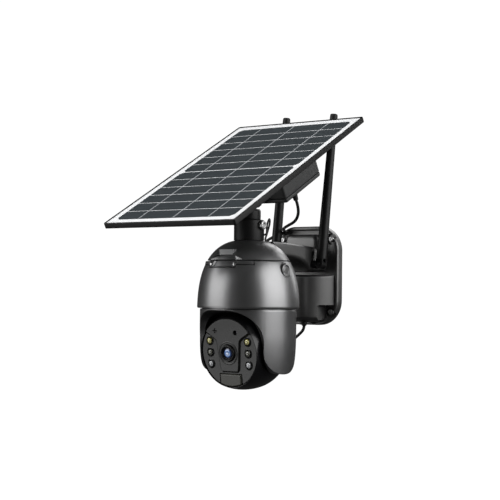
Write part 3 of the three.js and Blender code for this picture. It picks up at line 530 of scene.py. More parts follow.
def round_dome(turn, z, inward):
    """Points at an azimuth from the front in degrees, a height, and a depth below the surface."""
    angle = np.radians(turn)
    radius = np.maximum(dome_radius(z) - inward, 0)
    return np.stack([radius * np.sin(angle), AXIS_Y - radius * np.cos(angle), SKIRT + z + 0 * angle], -1)


def inside_hatch(turn, z):
    """How far a place lies inside the T-shaped hatch: positive within, negative outside."""
    middle = np.minimum(HATCH_HALF - np.abs(turn), z - HATCH_LOW)
    wings = np.minimum(HATCH_WING - np.abs(turn), z - HATCH_STEP)
    return np.maximum(middle, wings)


def near(turn, z, at_turn, at_z):
    """Distance in millimetres along the dome's skin from a place on it."""
    across = (np.mod(turn - at_turn + 180, 360) - 180) * math.radians(1) * dome_radius(z)
    return np.hypot(across, z - at_z)


def samples(low, high, pitch, places, spread, fine):
    """Even samples with closer ones round the places where an edge runs."""
    own = [np.arange(low, high, pitch), [high]]
    own += [p + np.arange(-spread, spread + fine / 2, fine) for p in places]
    merged = np.unique(np.round(np.concatenate(own), 3))
    merged = merged[(merged >= low) & (merged <= high)]
    return merged[np.concatenate([[True], np.diff(merged) > fine * 0.4])]


def dome_shell():
    """The lower dome, with a pocket for the hatch, a shadow line round it and a ring for the side plug."""
    edges = [-HATCH_WING, -HATCH_HALF, HATCH_HALF, HATCH_WING]
    turns = samples(-180, 179.2, 1.6, edges, 0.9, 0.15)
    turns = np.unique(np.concatenate([turns, PLUG_TURN + np.arange(-10, 10.1, 0.4)]))
    heights = samples(0, SEAM - 0.35, 1.4, [HATCH_LOW, HATCH_STEP], 0.9, 0.15)
    heights = np.unique(np.concatenate([heights, PLUG_Z + np.arange(-9, 9.1, 0.4)]))
    z, turn = np.meshgrid(heights, turns, indexing="ij")
    pocket = 1.7 * step((inside_hatch(turn, z) + 0.62) / 0.3)
    groove = 1.0 * step((0.95 - np.abs(near(turn, z, PLUG_TURN, PLUG_Z) - PLUG_R - 0.45)) / 0.4)
    lip = 0.7 * (1 - np.sqrt(np.clip(1 - (1 - np.clip(z / 0.9, 0, 1)) ** 2, 0, 1)))
    top = 0.6 * step((z - SEAM + 1.0) / 0.7)
    outer = round_dome(turn, z, pocket + groove + lip + top)
    inner = round_dome(turn, z, np.full_like(z, WALL))[::-1]
    return piece("dome_skin", [np.concatenate([outer, inner, outer[:1]])], "base", CHARCOAL,
                 ("dome_shell",))


def hatch_cover():
    """The T-shaped cover, a third of a millimetre proud of the dome, its rim turned down into the pocket."""
    edges = [-HATCH_WING, -HATCH_HALF, HATCH_HALF, HATCH_WING]
    turns = samples(-HATCH_WING - 0.5, HATCH_WING + 0.5, 0.8, edges, 0.8, 0.1)
    bored = [side * HATCH_SCREW + np.arange(-4.6, 3.7, 0.2) for side in (-1, 1)]
    turns = np.unique(np.concatenate([turns, *bored]))
    heights = samples(HATCH_LOW - 0.4, SEAM - 0.4, 0.7, [HATCH_LOW, HATCH_STEP, SEAM - 0.5], 0.8, 0.1)
    z, turn = np.meshgrid(heights, turns, indexing="ij")
    inside = np.minimum(inside_hatch(turn, z), SEAM - 0.35 - z)
    bores = np.minimum(near(turn, z, HATCH_SCREW, HATCH_SCREW_Z), near(turn, z, -HATCH_SCREW, HATCH_SCREW_Z))
    sunk = 1.3 * step((2.9 - bores) / 0.4)
    sunk += 2.0 * step((15.4 - np.abs(turn)) / 0.9) * step((z - HATCH_LOW - 0.8) / 0.6)
    wing = step((np.abs(turn) - HATCH_HALF) / 0.5) * (0.1 + 0.24 * (z - HATCH_STEP))
    front = round_dome(turn, z, 2.2 - 2.55 * step(inside / 0.35) + (sunk - wing) * step(inside / 0.35))
    back = round_dome(turn, z, np.full_like(z, 2.55))
    rim = np.concatenate([front, back[:, ::-1]], 1)
    flat = np.stack([0.5 * (row + row[::-1]) for row in (rim[0], rim[-1])])
    return piece("hatch_skin", [np.concatenate([flat[:1], rim, flat[1:]])], "base", CHARCOAL,
                 ("hatch_cover",))


def cap_relief(turn, z):
    """Depth of the finger recess above the hatch: a sunk floor, a slanting facet at each side of it,
    and over it an upright flat grip whose top stands a little proud."""
    side = np.abs(turn)
    below = step((60.6 - 0.4 * np.maximum(side - 16, 0) - z) / 0.4)
    facet = np.clip(34.26 - 0.41 * side - 0.405 * z, 0, 3.9 + 0.12 * (60 - z))
    half = np.interp(z, [60.5, 67], [12.6, 16.2])
    share = step((half - side) / 0.6) * step((z - 60.5) / 0.3) * step((67.2 - z) / 0.4)
    upright = (41.9 - 0.2 * (z - 60.5)) / np.cos(np.radians(turn))
    return below * facet + share * (dome_radius(z) - upright)


def dome_cap():
    """The top of the dome, which is one with the bracket's arm."""
    turns = np.unique(np.concatenate([np.arange(-180, 179, 1.8), np.arange(-33, 33.1, 0.35)]))
    foot = np.arange(SEAM + 0.3, 68, 0.35)
    crown = DOME_H * np.sin(np.linspace(math.asin(68 / DOME_H), np.pi / 2, 26))
    z, turn = np.meshgrid(np.concatenate([foot, crown]), turns, indexing="ij")
    edge = 0.6 * step((SEAM + 1.0 - z) / 0.7)
    outer = round_dome(turn, z, cap_relief(turn, z) + edge)
    centre = np.broadcast_to([0, AXIS_Y, SKIRT + SEAM + 0.3], outer[:1].shape)
    return piece("dome_crown", [np.concatenate([centre, outer])], "base", CHARCOAL,
                 ("bracket_casting",), crease=28)


def side_plug():
    """A flat round plug with a chamfered rim and a ring sunk into its face."""
    profile = softened([(0, 50), (7.3, 50), (7.3, 53.0), (6.6, 53.7), (5.4, 53.8), (5.1, 53.2), (4.3, 53.2),
                        (4.0, 53.8), (0, 53.9)], 0.3)
    skin = moved(turned(profile, 96, "x"), y=AXIS_Y, z=SKIRT + PLUG_Z)
    return piece("side_plug_cap", [skin], "base", CHARCOAL, ("side_plug",))


dome_shell()
hatch_cover()
dome_cap()
side_plug()


# ---------------------------------------------------------------- bracket
FIELD = 9.2                         # depth of the plate's sunk field, inside its raised rim
NOTCH_X, NOTCH_Z = 28.0, -35.5      # the case steps back here round its lower screws
CASE_TOP, CASE_FOOT, CASE_HALF, CORNER = 1.0, -56.5, 42.0, 26.4
WALL_SCREW_R, WALL_SCREW_FRONT = 3.3, 9.9


def squared(angle, power):
    """Cosine and sine bent towards a square, for a superellipse of that power."""
    c, s = np.cos(angle), np.sin(angle)
    return np.sign(c) * np.abs(c) ** (2 / power), np.sign(s) * np.abs(s) ** (2 / power)


def bracket_arm():
    """A squared bar from the dome to the wall plate, flared in a quarter round where it meets the plate."""
    y = np.concatenate([[AXIS_Y + 20], np.linspace(-88, -44, 40), np.linspace(-43, -9.2, 56)])
    share = np.clip((y + 80) / 69, 0, 1)
    flare = 1 - np.sqrt(1 - np.clip((y + 42) / 33, 0, 1) ** 2)
    half = 22 + 9 * flare
    under = np.clip((y + 78) / 45, 0, 1)
    top, bottom = 38.4 - 4 * share, 20.3 - 2 * share - 14 * (1 - np.sqrt(1 - under ** 2))
    cosine, sine = squared(np.linspace(0, 2 * np.pi, 120, endpoint=False), 5.5)
    x = np.outer(half, cosine)
    z = ((top + bottom) / 2)[:, None] + np.outer((top - bottom) / 2, sine)
    return piece("bracket_arm", [np.stack([x, np.repeat(y[:, None], 120, 1), z], -1)], "base", BRACKET_GREY,
                 ("bracket_casting",))


def cutter(name, skin):
    """A body that cuts a shape out of the bracket and is then removed."""
    return piece(name, [skin], "base", BRACKET_GREY)


def wall_plate():
    """The plate: round corners, a raised rim round a sunk field, and four pockets for its screws."""
    edge = softened([(0.6, 0), (0, 0.8), (0, 9.4), (1.0, PLATE_T), (3.9, PLATE_T), (4.7, FIELD + 0.4),
                     (5.4, FIELD), (6.4, FIELD)], 0.9, 5)
    plate = piece("bracket_plate", [standing(slab(PLATE_W, PLATE_H, PLATE_CORNER, edge, 24))], "base",
                  BRACKET_GREY, ("bracket_casting",))
    cover = [(32.4, 42.4, -29), (24.4, 42, 11.4)]
    recess = [cutter("recess", moved(standing(slab(w, h, 0.4, [(0, -1), (0, 2.2)], 2)), z=z))
              for w, h, z in cover]
    cut(plate, screw_pockets() + recess)


def screw_pockets():
    """Stepped round cutters at the plate's four corners."""
    pocket = turned([(0, -1), (2.6, -1), (2.6, 6), (6.9, 6), (6.9, 45), (0, 45)], 64, "y")
    return [cutter("pocket", moved(pocket, sx * SCREW_X, 0, sz * SCREW_Z)) for sx in (-1, 1) for sz in (-1, 1)]


def case_bulge():
    """The case below the arm: its depth falls off as a cosine across, with a round lip at the top
    and a rounded foot whose corners follow the plate's."""
    up = np.sin(np.linspace(-np.pi / 2, np.pi / 2, 101)) * 0.5 + 0.5
    across, up = np.meshgrid(np.sin(np.linspace(-np.pi / 2, np.pi / 2, 141)), up, indexing="xy")
    z = CASE_FOOT + (CASE_TOP - CASE_FOOT) * up
    corner = np.clip((CASE_FOOT + CORNER - z) / CORNER, 0, 1)
    x = across * (CASE_HALF - CORNER + CORNER * np.sqrt(1 - 0.995 * corner ** 2))
    bulge = np.cos(np.pi / 2 * np.clip(np.abs(x) / (CASE_HALF + 0.6), 0, 1) ** 1.5) ** 1.2
    lip = np.sqrt(1 - np.clip(1 - (CASE_TOP - z) / 3.0, 0, 1) ** 2)
    foot = np.sqrt(1 - np.clip(1 - (z - CASE_FOOT) / 7.0, 0, 1) ** 2)
    depth = FIELD - 0.4 + 28.2 * bulge * np.minimum(lip, foot)
    front = np.stack([x, -depth, z], -1)
    back = np.stack([x, np.full_like(x, -8.0), z], -1)
    case = piece("bracket_case", [np.concatenate([front, back[:, ::-1]], 1)], "base", BRACKET_GREY,
                 ("bracket_casting",))
    outlet = cutter("outlet", moved(turned([(0, -70), (4.2, -70), (4.2, -45), (0, -45)], 48), 5, -20))
    notch = standing(slab(40, 40, 3, [(0, 8), (0, 60)], 8))
    notches = [cutter("notch", moved(notch, side * (NOTCH_X + 20), 0, NOTCH_Z - 20)) for side in (-1, 1)]
    cut(case, [*notches, outlet])


def arm_root():
    """The rounded block that the arm grows out of, between the antennas."""
    edge = softened([(0, 8), (0, 17), (1.2, 20.4), (4.6, 22), (8, 22)], 3.2, 8)
    return piece("bracket_root", [moved(standing(slab(50, 42, 8, edge, 16)), z=29)], "base", BRACKET_GREY,
                 ("bracket_casting",))


def screw_head(name, place, radius, node, axis="y"):
    """A pan head whose rim is rounded, with a cross recess cut into it."""
    x, depth, z = place
    profile = softened([(0, depth - 3), (radius, depth - 3), (radius, depth - 0.9), (radius * 0.8, depth),
                        (0, depth + 0.1)], 0.5)
    made = piece(name, [moved(turned(profile, 48, axis), x, 0, z)], "base", STEEL, (node,))
    bars = []
    for w, h in ((radius * 1.15, radius * 0.3), (radius * 0.3, radius * 1.15)):
        bar = standing(slab(w, h, 0.1, [(0, depth - 1.1), (0, depth + 1)], 2))
        bars.append(piece("bar", [moved(bar, x, 0, z)], "base", STEEL))
    cut(made, bars)


bracket_arm()
wall_plate()
case_bulge()
arm_root()
for side, sx in (("left", -1), ("right", 1)):
    for level, sz in (("top", 1), ("bottom", -1)):
        screw_head(f"wall_screw_head_{level}_{side}", (sx * SCREW_X, WALL_SCREW_FRONT, sz * SCREW_Z),
                   WALL_SCREW_R, f"wall_screw_{level}_{side}")


# ---------------------------------------------------------------- yoke
ARCH_HALF, ARCH_TALL, ARM_HALF, ARM_DROP = 46.8, 44.0, 30.5, 27.8
INNER_TALL, INNER_Y, ARCH_INNER_Y = 41.6, 26.0, 35.2


def yoke_radius(z):
    """The drum's radius above the dome's lower edge: straight, then drawn in towards the arms' ends."""
    return YOKE_R - 0.0014 * np.maximum(0, -z - 30) ** 2


def yoke():
    """One closed skin. Its rim runs over the front arch, round one arm, over the back arch and round the
    other arm, each a half superellipse. From each rim point the outside goes straight up to the dome, and
    a bevel leads in to the inner walls."""
    centre = HEAD_Z - SKIRT
    quarter = np.linspace(0, np.pi, 97)[:-1]
    columns = []
    for turn in (0, 1):
        sign = 1 - 2 * turn
        c, s = squared(np.pi - quarter, 2.7)
        x = sign * ARCH_HALF * c
        z = centre + ARCH_TALL * s
        y = -sign * np.sqrt(yoke_radius(z) ** 2 - x ** 2)
        arch_y = INNER_Y + (ARCH_INNER_Y - INNER_Y) * s
        columns.append((x, y, z, sign * ARM_X * c, -sign * arch_y, centre + INNER_TALL * s, s))
        c, s = squared(np.pi - quarter, 2.25)
        y = sign * ARM_HALF * c
        z = centre - ARM_DROP * s
        x = sign * np.sqrt(yoke_radius(z) ** 2 - y ** 2)
        columns.append((x, y, z, np.full_like(x, sign * ARM_X), y * INNER_Y / ARM_HALF, z, np.zeros_like(x)))
    x, y, z, inner_x, inner_y, inner_z, lift = [np.concatenate(part) for part in zip(*columns)]
    angle = np.arctan2(y, x)

    def ring(radius, height):
        return np.stack([radius * np.cos(angle), radius * np.sin(angle), height + 0 * angle], -1)

    rim_top = -0.8
    rows = [ring(0, 14), ring(53, 14), ring(53.2, rim_top), ring(54.9, rim_top),
            ring(YOKE_R - 0.2, rim_top - 0.3), ring(YOKE_R, rim_top - 1)]
    for share in np.linspace(0, 1, 40)[1:]:
        height = rim_top - 1 + (z + 0.5 - rim_top + 1) * share
        rows.append(ring(yoke_radius(height), height))
    outer, inner = np.stack([x, y, z], -1), np.stack([inner_x, inner_y, inner_z], -1)
    for share in (0.03, 0.07, 0.3, 0.6, 0.93, 0.97, 1.0):
        rows.append(outer + (inner - outer) * share)
    arch = lift > 0
    for share in (0.04, 0.3, 0.6, 1.0):
        depth = inner_y * (1 - share)
        hollow = np.sqrt(54.2 ** 2 - depth ** 2)
        ceiling = np.stack([inner_x, depth, centre + hollow * lift], -1)
        wall = np.stack([inner_x, inner_y, inner_z + (centre - inner_z) * share], -1)
        rows.append(np.where(arch[:, None], ceiling, wall))
    skin = moved(np.array(rows), y=AXIS_Y, z=SKIRT)
    return piece("yoke_skin", [skin[:, ::-1]], "pan", CHARCOAL, ("yoke",), crease=30)


yoke()


# ---------------------------------------------------------------- head
HEAD_FLAT = 40.0                    # from the sight line to the flats at the head's sides


def head_skin():
    """A body turned about its sight line, blunt in front and round behind, its sides cut flat."""
    rear = np.linspace(-np.pi / 2, 0, 40)
    front = np.linspace(0, FACE_FRONT - 0.8, 26)[1:]
    profile = [(HEAD_R * math.cos(a), HEAD_R * math.sin(a)) for a in rear]
    profile += [(HEAD_R * math.sqrt(1 - (y / 66.5) ** 2), y) for y in front]
    profile += [(39.75, FACE_FRONT - 0.3), (39.5, FACE_FRONT - 0.4), (39.5, 32), (0, 32)]
    skin = turned(profile, 200, "y")
    skin[..., 0] = np.clip(skin[..., 0], -HEAD_FLAT, HEAD_FLAT)
    return piece("head_skin", [on_head(skin)], "head", HEAD_BLACK, ("head_shell",), crease=40)


LAMP_X, LAMP_PITCH = 26.9, 13.25    # the lamps' places beside the lens and from row to row
SENSOR_X, SENSOR_V = 11.8, 23.5     # the light sensor's place on the face
FACE_BACK = -32.6                   # where the face panel ends inside the head


def inside_shield(x, v):
    """How far a place on the face lies inside the raised shield: positive within."""
    half = np.interp(v, [-21.5, -20, -16, 12, 14.5, 17.5, 27, 60],
                     [10.5, 12.6, 13.5, 16.5, 17.8, 21.4, 38, 95])
    lean = np.where(v > 14, 0.5, 0.98)
    return np.minimum((half - np.abs(x)) * lean, v + 21.5)


def face_panel():
    """The face as a height over a polar grid: two lamp channels, a raised shield, sockets and fine holes."""
    radius = np.concatenate([np.linspace(0, 38.4, 150), [38.8, 39.0, 39.2]])
    angle = np.linspace(0, 2 * np.pi, 300, endpoint=False)
    r, a = np.meshgrid(radius, angle, indexing="ij")
    x, v = r * np.cos(a), r * np.sin(a)
    height = 34.3 + 2.1 * step(inside_shield(x, v) / 2.2 + 0.5)
    for side in (-1, 1):
        for level in (-1, 0, 1):
            apart = np.hypot(x - side * LAMP_X, v - level * LAMP_PITCH)
            height += 0.9 * step((5.3 - apart) / 0.7) - 2.6 * step((4.3 - apart) / 0.5)
    height -= 3.0 * step((10.2 - np.hypot(x, v)) / 0.5)
    height += 0.35 * step(1.2 - np.abs(np.hypot(x, v) - 12.6) / 0.8)
    height -= 3.2 * step((2.7 - np.hypot(x - SENSOR_X, v - SENSOR_V)) / 0.4)
    window = np.minimum(15.6 - np.abs(x), -24.0 - v)
    height -= 0.9 * step(window / 0.5 + 0.5)
    for across, up in ((0, 0), (2.1, 0), (-2.1, 0), (0, 2.1), (0, -2.1)):
        height -= 1.2 * step((0.85 - np.hypot(x + 17.5 - across, v - 25 - up)) / 0.35)
    height -= 0.8 * step((r - 38.5) / 0.7)
    front = np.stack([x, -height, v], -1)
    back = np.stack([x[-1], np.full_like(x[-1], FACE_BACK), v[-1]], -1)[None]
    middle = np.broadcast_to([0, FACE_BACK, 0], back.shape)
    return piece("face_skin", [on_head(np.concatenate([front, back, middle]))], "head", FACE_BLACK,
                 ("face_panel",), crease=50)


def motion_window():
    """A frosted window that fills the foot of the face, slightly crowned."""
    x, v = np.meshgrid(np.linspace(-15.1, 15.1, 70), np.linspace(0, 1, 30), indexing="xy")
    foot = -np.sqrt(38.7 ** 2 - x ** 2)
    v = foot + (-24.5 - foot) * v
    rim = np.minimum(np.minimum(15.1 - np.abs(x), -24.5 - v), v - foot)
    height = 34.2 + 1.3 * np.sqrt(step(rim / 1.4))
    front = np.stack([x, -height, v], -1)
    back = np.stack([x, np.full_like(x, -33.2), v], -1)
    return piece("motion_window_skin", [on_head(np.concatenate([front, back[:, ::-1]], 1))], "head", WINDOW,
                 ("motion_window",))


def head_turned(name, profile, x, v, finish, node, segments=72):
    """A turned piece on the face, at a place beside and above the lens axis."""
    skin = moved(turned(profile, segments, "y"), x, 0, v)
    return piece(name, [on_head(skin)], "head", finish, (node,))


def cap_arc(radius, height, rise, count):
    """Profile of a domed end, a quarter ellipse from its rim to its middle."""
    return [(radius * math.cos(a), height + rise * math.sin(a)) for a in np.linspace(0, np.pi / 2, count)]


def lens_with_painted_reflection():
    """Coated glass in rings by distance from the lens axis: a pale centre that is a painted reflection, then blue
    rings with dark bands between them, all glowing a little as painted light.
    """
    centre = on_head([0, -38.0, 0]) * MM

    def sockets(wire):
        apart = wire.node("VectorMath", {"operation": "DISTANCE"}, {0: wire.place(), 1: tuple(centre)}, out=1)
        # the first two pale stops are a painted reflection of the lights; the blue rings stand for the coating's
        # tint
        stops = [(0.0, (0.55, 0.62, 0.72)), (0.16, (0.30, 0.40, 0.58)), (0.34, (0.02, 0.04, 0.12)),
                 (0.58, (0.13, 0.25, 0.50)), (0.74, (0.02, 0.035, 0.10)), (1.0, (0.004, 0.004, 0.01))]
        ramp = wire.node("ValToRGB", {"stops": stops}, {0: apart * (1 / LENS_REACH)})
        # the rings also feed the emission, so the lens glows with its painted reflection though it is no lamp
        return {"Base Color": ramp, "Emission Color": ramp, "Roughness": 0.05 + 0.05 * wire.noise(500, 1)}
    return new_finish("coated_lens_painted_reflection", sockets, {"Coat Weight": 1.0, "Coat Roughness": 0.02,
                                               "Emission Strength": 0.5})


def face_fittings():
    """Lens, light sensor and six lamps, each a turned piece on the face."""
    barrel = softened([(0, 22), (9.6, 22), (9.6, 38.2), (8.7, 39.2), (8.2, 39.2), (6.4, 36.6), (6.2, 36.2),
                       (0, 36.2)], 0.4)
    head_turned("lens_ring", barrel, 0, 0, FACE_BLACK, "lens_barrel", 120)
    dome = [(0, 36.3), (5.8, 36.3), *cap_arc(5.8, 36.5, 1.9, 20)]
    head_turned("lens_dome", dome, 0, 0, lens_with_painted_reflection(), "lens_glass", 96)
    pupil = [(0, 31), (1.7, 31), *cap_arc(1.7, 32.8, 0.7, 10)]
    head_turned("light_sensor_dome", pupil, SENSOR_X, SENSOR_V, lens_with_painted_reflection(), "light_sensor", 40)
    # Per level: slot, rim colour, pale colour of the painted highlights on chip and reflector, colour of the
    # painted glint, and row.
    kinds = {
        "upper": ("lamp_warm", (0.20, 0.18, 0.04), (0.80, 0.74, 0.32), (0.8, 0.75, 0.3), 1),
        "middle": ("lamp_dark", (0.02, 0.022, 0.018), (0.22, 0.22, 0.18), (0.05, 0.05, 0.03), 0),
        "lower": ("lamp_white", (0.20, 0.21, 0.22), (0.78, 0.80, 0.82), (0.6, 0.62, 0.65), -1),
    }
    for level, (slot, rim, middle, painted_glint, step_up) in kinds.items():
        centres = [tuple(on_head([side * LAMP_X, -36.3, step_up * LAMP_PITCH]) * MM) for side in (-1, 1)]
        finish = lamp_finish(slot, rim, middle, painted_glint, centres)
        bulb = [(0, 31), (3.5, 31), (3.5, 34.4)]
        bulb += [(0.3 + 3.0 * math.cos(a), 34.6 + 2.1 * math.sin(a)) for a in np.linspace(0, np.pi / 2, 14)]
        bulb += [(0, 36.7)]
        for side, name in ((-1, "left"), (1, "right")):
            head_turned(f"lamp_bulb_{level}_{name}", bulb, side * LAMP_X, step_up * LAMP_PITCH, finish,
                        f"lamp_{level}_{name}", 48)


head_skin()
face_panel()
motion_window()
face_fittings()


# ---------------------------------------------------------------- antennas
def whips():
    """Each whip is a tapered mast with a round tip, over a cross-drilled knuckle."""
    for side, name, lean in ((-1, "left", 0.8), (1, "right", 1.3)):
        mast = softened([(0, 5.9), (6.2, 5.9), (6.4, 7), (6.4, 26), (6.1, 30), (4.7, WHIP_UP - 3),
                         (4.4, WHIP_UP - 0.6), (0, WHIP_UP)], 1.2, 6)
        tongue = []
        for y0, y1 in ((-5.2, -2.3), (2.3, 5.2)):
            knuckle = turned(softened([(0, y0), (5.1, y0), (5.1, y1), (0, y1)], 0.4), 64, "y")
            tongue.append(knuckle)
            cheek = slab(9.6, y1 - y0, 0.6, [(0.3, -0.5), (0, 0), (0, 6.4)], 4)
            tongue.append(moved(cheek, y=-(y0 + y1) / 2))
        pin = turned(softened([(0, -5.9), (1.5, -5.9), (1.5, 5.9), (0, 5.9)], 0.3), 32, "y")
        skins = [in_whip(skin, side, math.radians(lean)) for skin in (turned(mast, 64), *tongue, pin)]
        piece(f"whip_{name}", skins, f"whip_{name}", SATIN_BLACK, (f"antenna_whip_{name}",))


def in_whip(skin, side, lean):
    """From a whip's own frame, leaning sideways and then back, to the row frame."""
    x, y, z = np.moveaxis(np.asarray(skin, float), -1, 0)
    x, z = x * math.cos(lean) + z * math.sin(lean), -x * math.sin(lean) + z * math.cos(lean)
    c, s = math.cos(-WHIP_BACK), math.sin(-WHIP_BACK)
    return np.stack([side * WHIP_X + x, WHIP_Y + y * c - z * s, WHIP_Z + y * s + z * c], -1)


whips()


# ---------------------------------------------------------------- collar, stem and knob
CLAMP_Z = 56.4                      # height of the clamp screw


def neck_pieces():
    """The clamp collar, its screw, the panel's stem and the knob of its hinge."""
    collar = turned(softened([(12.3, 39.7), (17.5, 38.8), (17.5, 61.4), (16.8, 62.5), (10.3, 62.5), (10.3, 51.6),
                              (12.3, 51.6), (12.3, 39.7)], 0.3), 120)
    pad = turned(softened([(2.4, 12.6), (5.6, 12.6), (5.6, 18.4), (2.4, 18.4), (2.4, 12.6)], 0.5), 64, "x")
    piece("collar_skin", [moved(collar, y=AXIS_Y), moved(pad, y=AXIS_Y, z=CLAMP_Z)], "base", SATIN_BLACK,
          ("clamp_collar",))
    screw = softened([(0, 10.4), (2, 10.4), (2, 18.8), (5.1, 18.8), (5.1, 21.6), (4.2, 22.3), (2.3, 22.3),
                      (2.1, 20.8), (0, 20.8)], 0.3)
    piece("clamp_screw_head", [moved(turned(screw, 64, "x"), y=AXIS_Y, z=CLAMP_Z)], "clamp_screw", STEEL,
          ("clamp_screw",))
    column = turned(softened([(0, 51), (9.9, 51), (9.9, 54), (9.1, 54.4), (9.1, 58.6), (9.9, 59), (9.9, 62.8),
                              (13.4, 62.8), (13.6, 73), (12.4, 75), (0, 75)], 0.6), 96)
    tongue = turned(softened([(0, -6), (7.6, -6), (7.6, 6), (0, 6)], 0.5), 72, "x")
    web = slab(12, 15.2, 1, [(0, HINGE_Z - 14), (0, HINGE_Z)], 4)
    piece("stem_skin", [moved(column, y=AXIS_Y), moved(tongue, y=HINGE_Y, z=HINGE_Z), moved(web, y=HINGE_Y)],
          "swivel", SATIN_BLACK, ("panel_stem",))
    profile = [(0, -15.3), (5, -15.3), (5, -11.6), (2.9, -11.6), (2.9, 11.6), (7.6, 11.6), (8.0, 13),
               (8.0, 16.6), (7.2, 18.2), (4.2, 18.4), (3.9, 17.8), (0, 17.8)]
    knob = turned(softened(profile, 0.4), 144, "x")
    angle = np.linspace(0, 2 * np.pi, 144, endpoint=False)
    flute = 1 - 0.055 * step(np.cos(angle * 12) * 0.5 + 0.5)
    grip = (knob[..., 0:1] > 11.7) & (np.hypot(knob[..., 1:2], knob[..., 2:3]) > 6.5)
    knob = np.where(grip, knob * np.stack([np.ones_like(flute), flute, flute], -1), knob)
    piece("knob_skin", [moved(knob, y=HINGE_Y, z=HINGE_Z)], "tilt_knob", SATIN_BLACK,
          ("tilt_knob",))


neck_pieces()


# ---------------------------------------------------------------- solar panel
LIP, STRIPS, GROUPS = 1.7, 6, 2
MARGIN_X, MARGIN_END, MIDDLE_GAP, STRIP_GAP, CHAMFER = 8.3, 9.4, 1.7, 1.0, 4.4
LAMINATE_TOP = -1.1
BOX_CORNER = 3.4
GLAND_X, GLAND_V = 34.0, 44.8       # where the lead leaves the lid


def frame_bars():
    """The frame: one profile of inset and height carried round the panel's edge, closed on itself."""
    profile = softened([(0.2, -PANEL_T), (0, -PANEL_T + 0.3), (0, -0.6), (0.5, 0), (LIP - 0.2, 0), (LIP, -0.3),
                        (LIP, -1.2), (1.2, -1.2), (1.2, -4.6), (9, -4.6), (9, -PANEL_T), (0.2, -PANEL_T)],
                       0.25, 3)
    return piece("panel_frame_bars", [on_panel(slab(PANEL_W, PANEL_L, 2.2, profile, 6))], "panel", FRAME_BLACK,
                 ("panel_frame",))


def strip_places():
    """Centre and size along the panel of each cell strip, two groups of six with a wider gap between."""
    room = (PANEL_L - 2 * LIP - 2 * MARGIN_END - MIDDLE_GAP) / GROUPS
    pitch = (room + STRIP_GAP) / STRIPS
    for group in (-1, 1):
        for k in range(STRIPS):
            yield group * (MIDDLE_GAP / 2 + pitch * (k + 0.5) - STRIP_GAP / 2), pitch - STRIP_GAP, group, k


def laminate():
    """The white sheet, the dark strips with cut corners and the bright ribbons, each a thin raised piece."""
    edge = [(0.2, -4.3), (0, -4.1), (0, LAMINATE_TOP - 0.2), (0.2, LAMINATE_TOP)]
    sheet = slab(PANEL_W - 2.6, PANEL_L - 2.6, 0.8, edge, 3)
    piece("laminate_sheet", [on_panel(sheet)], "panel", BACK_SHEET, ("panel_laminate",))
    width = PANEL_W - 2 * LIP - 2 * MARGIN_X
    skins = []
    for centre, tall, group, k in strip_places():
        low, high = centre - tall / 2, centre + tall / 2
        near_end, far_end = (k == 0, k == STRIPS - 1) if group > 0 else (k == STRIPS - 1, k == 0)
        cut_low, cut_high = CHAMFER if near_end else 0.05, CHAMFER if far_end else 0.05
        w = width / 2
        outline = np.array([(-w + cut_low, low), (w - cut_low, low), (w, low + cut_low), (w, high - cut_high),
                            (w - cut_high, high), (-w + cut_high, high), (-w, high - cut_high),
                            (-w, low + cut_low)])
        levels = (LAMINATE_TOP - 0.05, LAMINATE_TOP + 0.08)
        skins.append(np.array([np.column_stack([outline, np.full(8, level)]) for level in levels]))
    piece("cell_strips", [on_panel(s) for s in skins], "panel", CELLS)
    bars = []
    for place in (-0.30, 0.0, 0.30):
        for group in (-1, 1):
            low, high = group * (MIDDLE_GAP / 2 + 1), group * (PANEL_L / 2 - LIP - MARGIN_END - 1)
            bars.append(ribbon(place * width, (low + high) / 2, 1.1, abs(high - low)))
    piece("cell_ribbons", [on_panel(b) for b in bars], "panel", RIBBON)


def ribbon(x, y, w, h):
    """A flat tinned strip lying on the cells."""
    edge = [(0, LAMINATE_TOP - 0.02), (0, LAMINATE_TOP + 0.14), (0.12, LAMINATE_TOP + 0.17)]
    return moved(slab(w, h, 0.2, edge, 2), x, y)


def battery_case():
    """The box and its lid: rounded slabs whose rims leave a shadow line between them."""
    middle, tall = (BOX_V0 + BOX_V1) / 2, BOX_V1 - BOX_V0
    seam = -BOX_DEPTH + LID
    wall = softened([(0.5, -4.8), (0, -5.4), (0, seam + 1.2), (0.7, seam + 0.9), (0.7, seam + 0.4)], 0.4)
    piece("box_skin", [on_panel(moved(slab(BOX_W, tall, BOX_CORNER, wall, 8), y=middle))], "panel", BOX_BLACK,
          ("battery_box",))
    rim = softened([(0.7, seam), (0, seam - 0.4), (0, -BOX_DEPTH + 1.4), (1.4, -BOX_DEPTH), (4, -BOX_DEPTH)], 0.6)
    lid = piece("lid_skin", [on_panel(moved(slab(BOX_W, tall, BOX_CORNER, rim, 8), y=middle))], "panel",
                BOX_BLACK, ("box_lid",))
    hole = moved(turned([(0, -60), (4.0, -60), (4.0, -40), (0, -40)], 48), GLAND_X, GLAND_V)
    cut(lid, [piece("gland_hole", [on_panel(hole)], "panel", BOX_BLACK)])


frame_bars()
laminate()
battery_case()


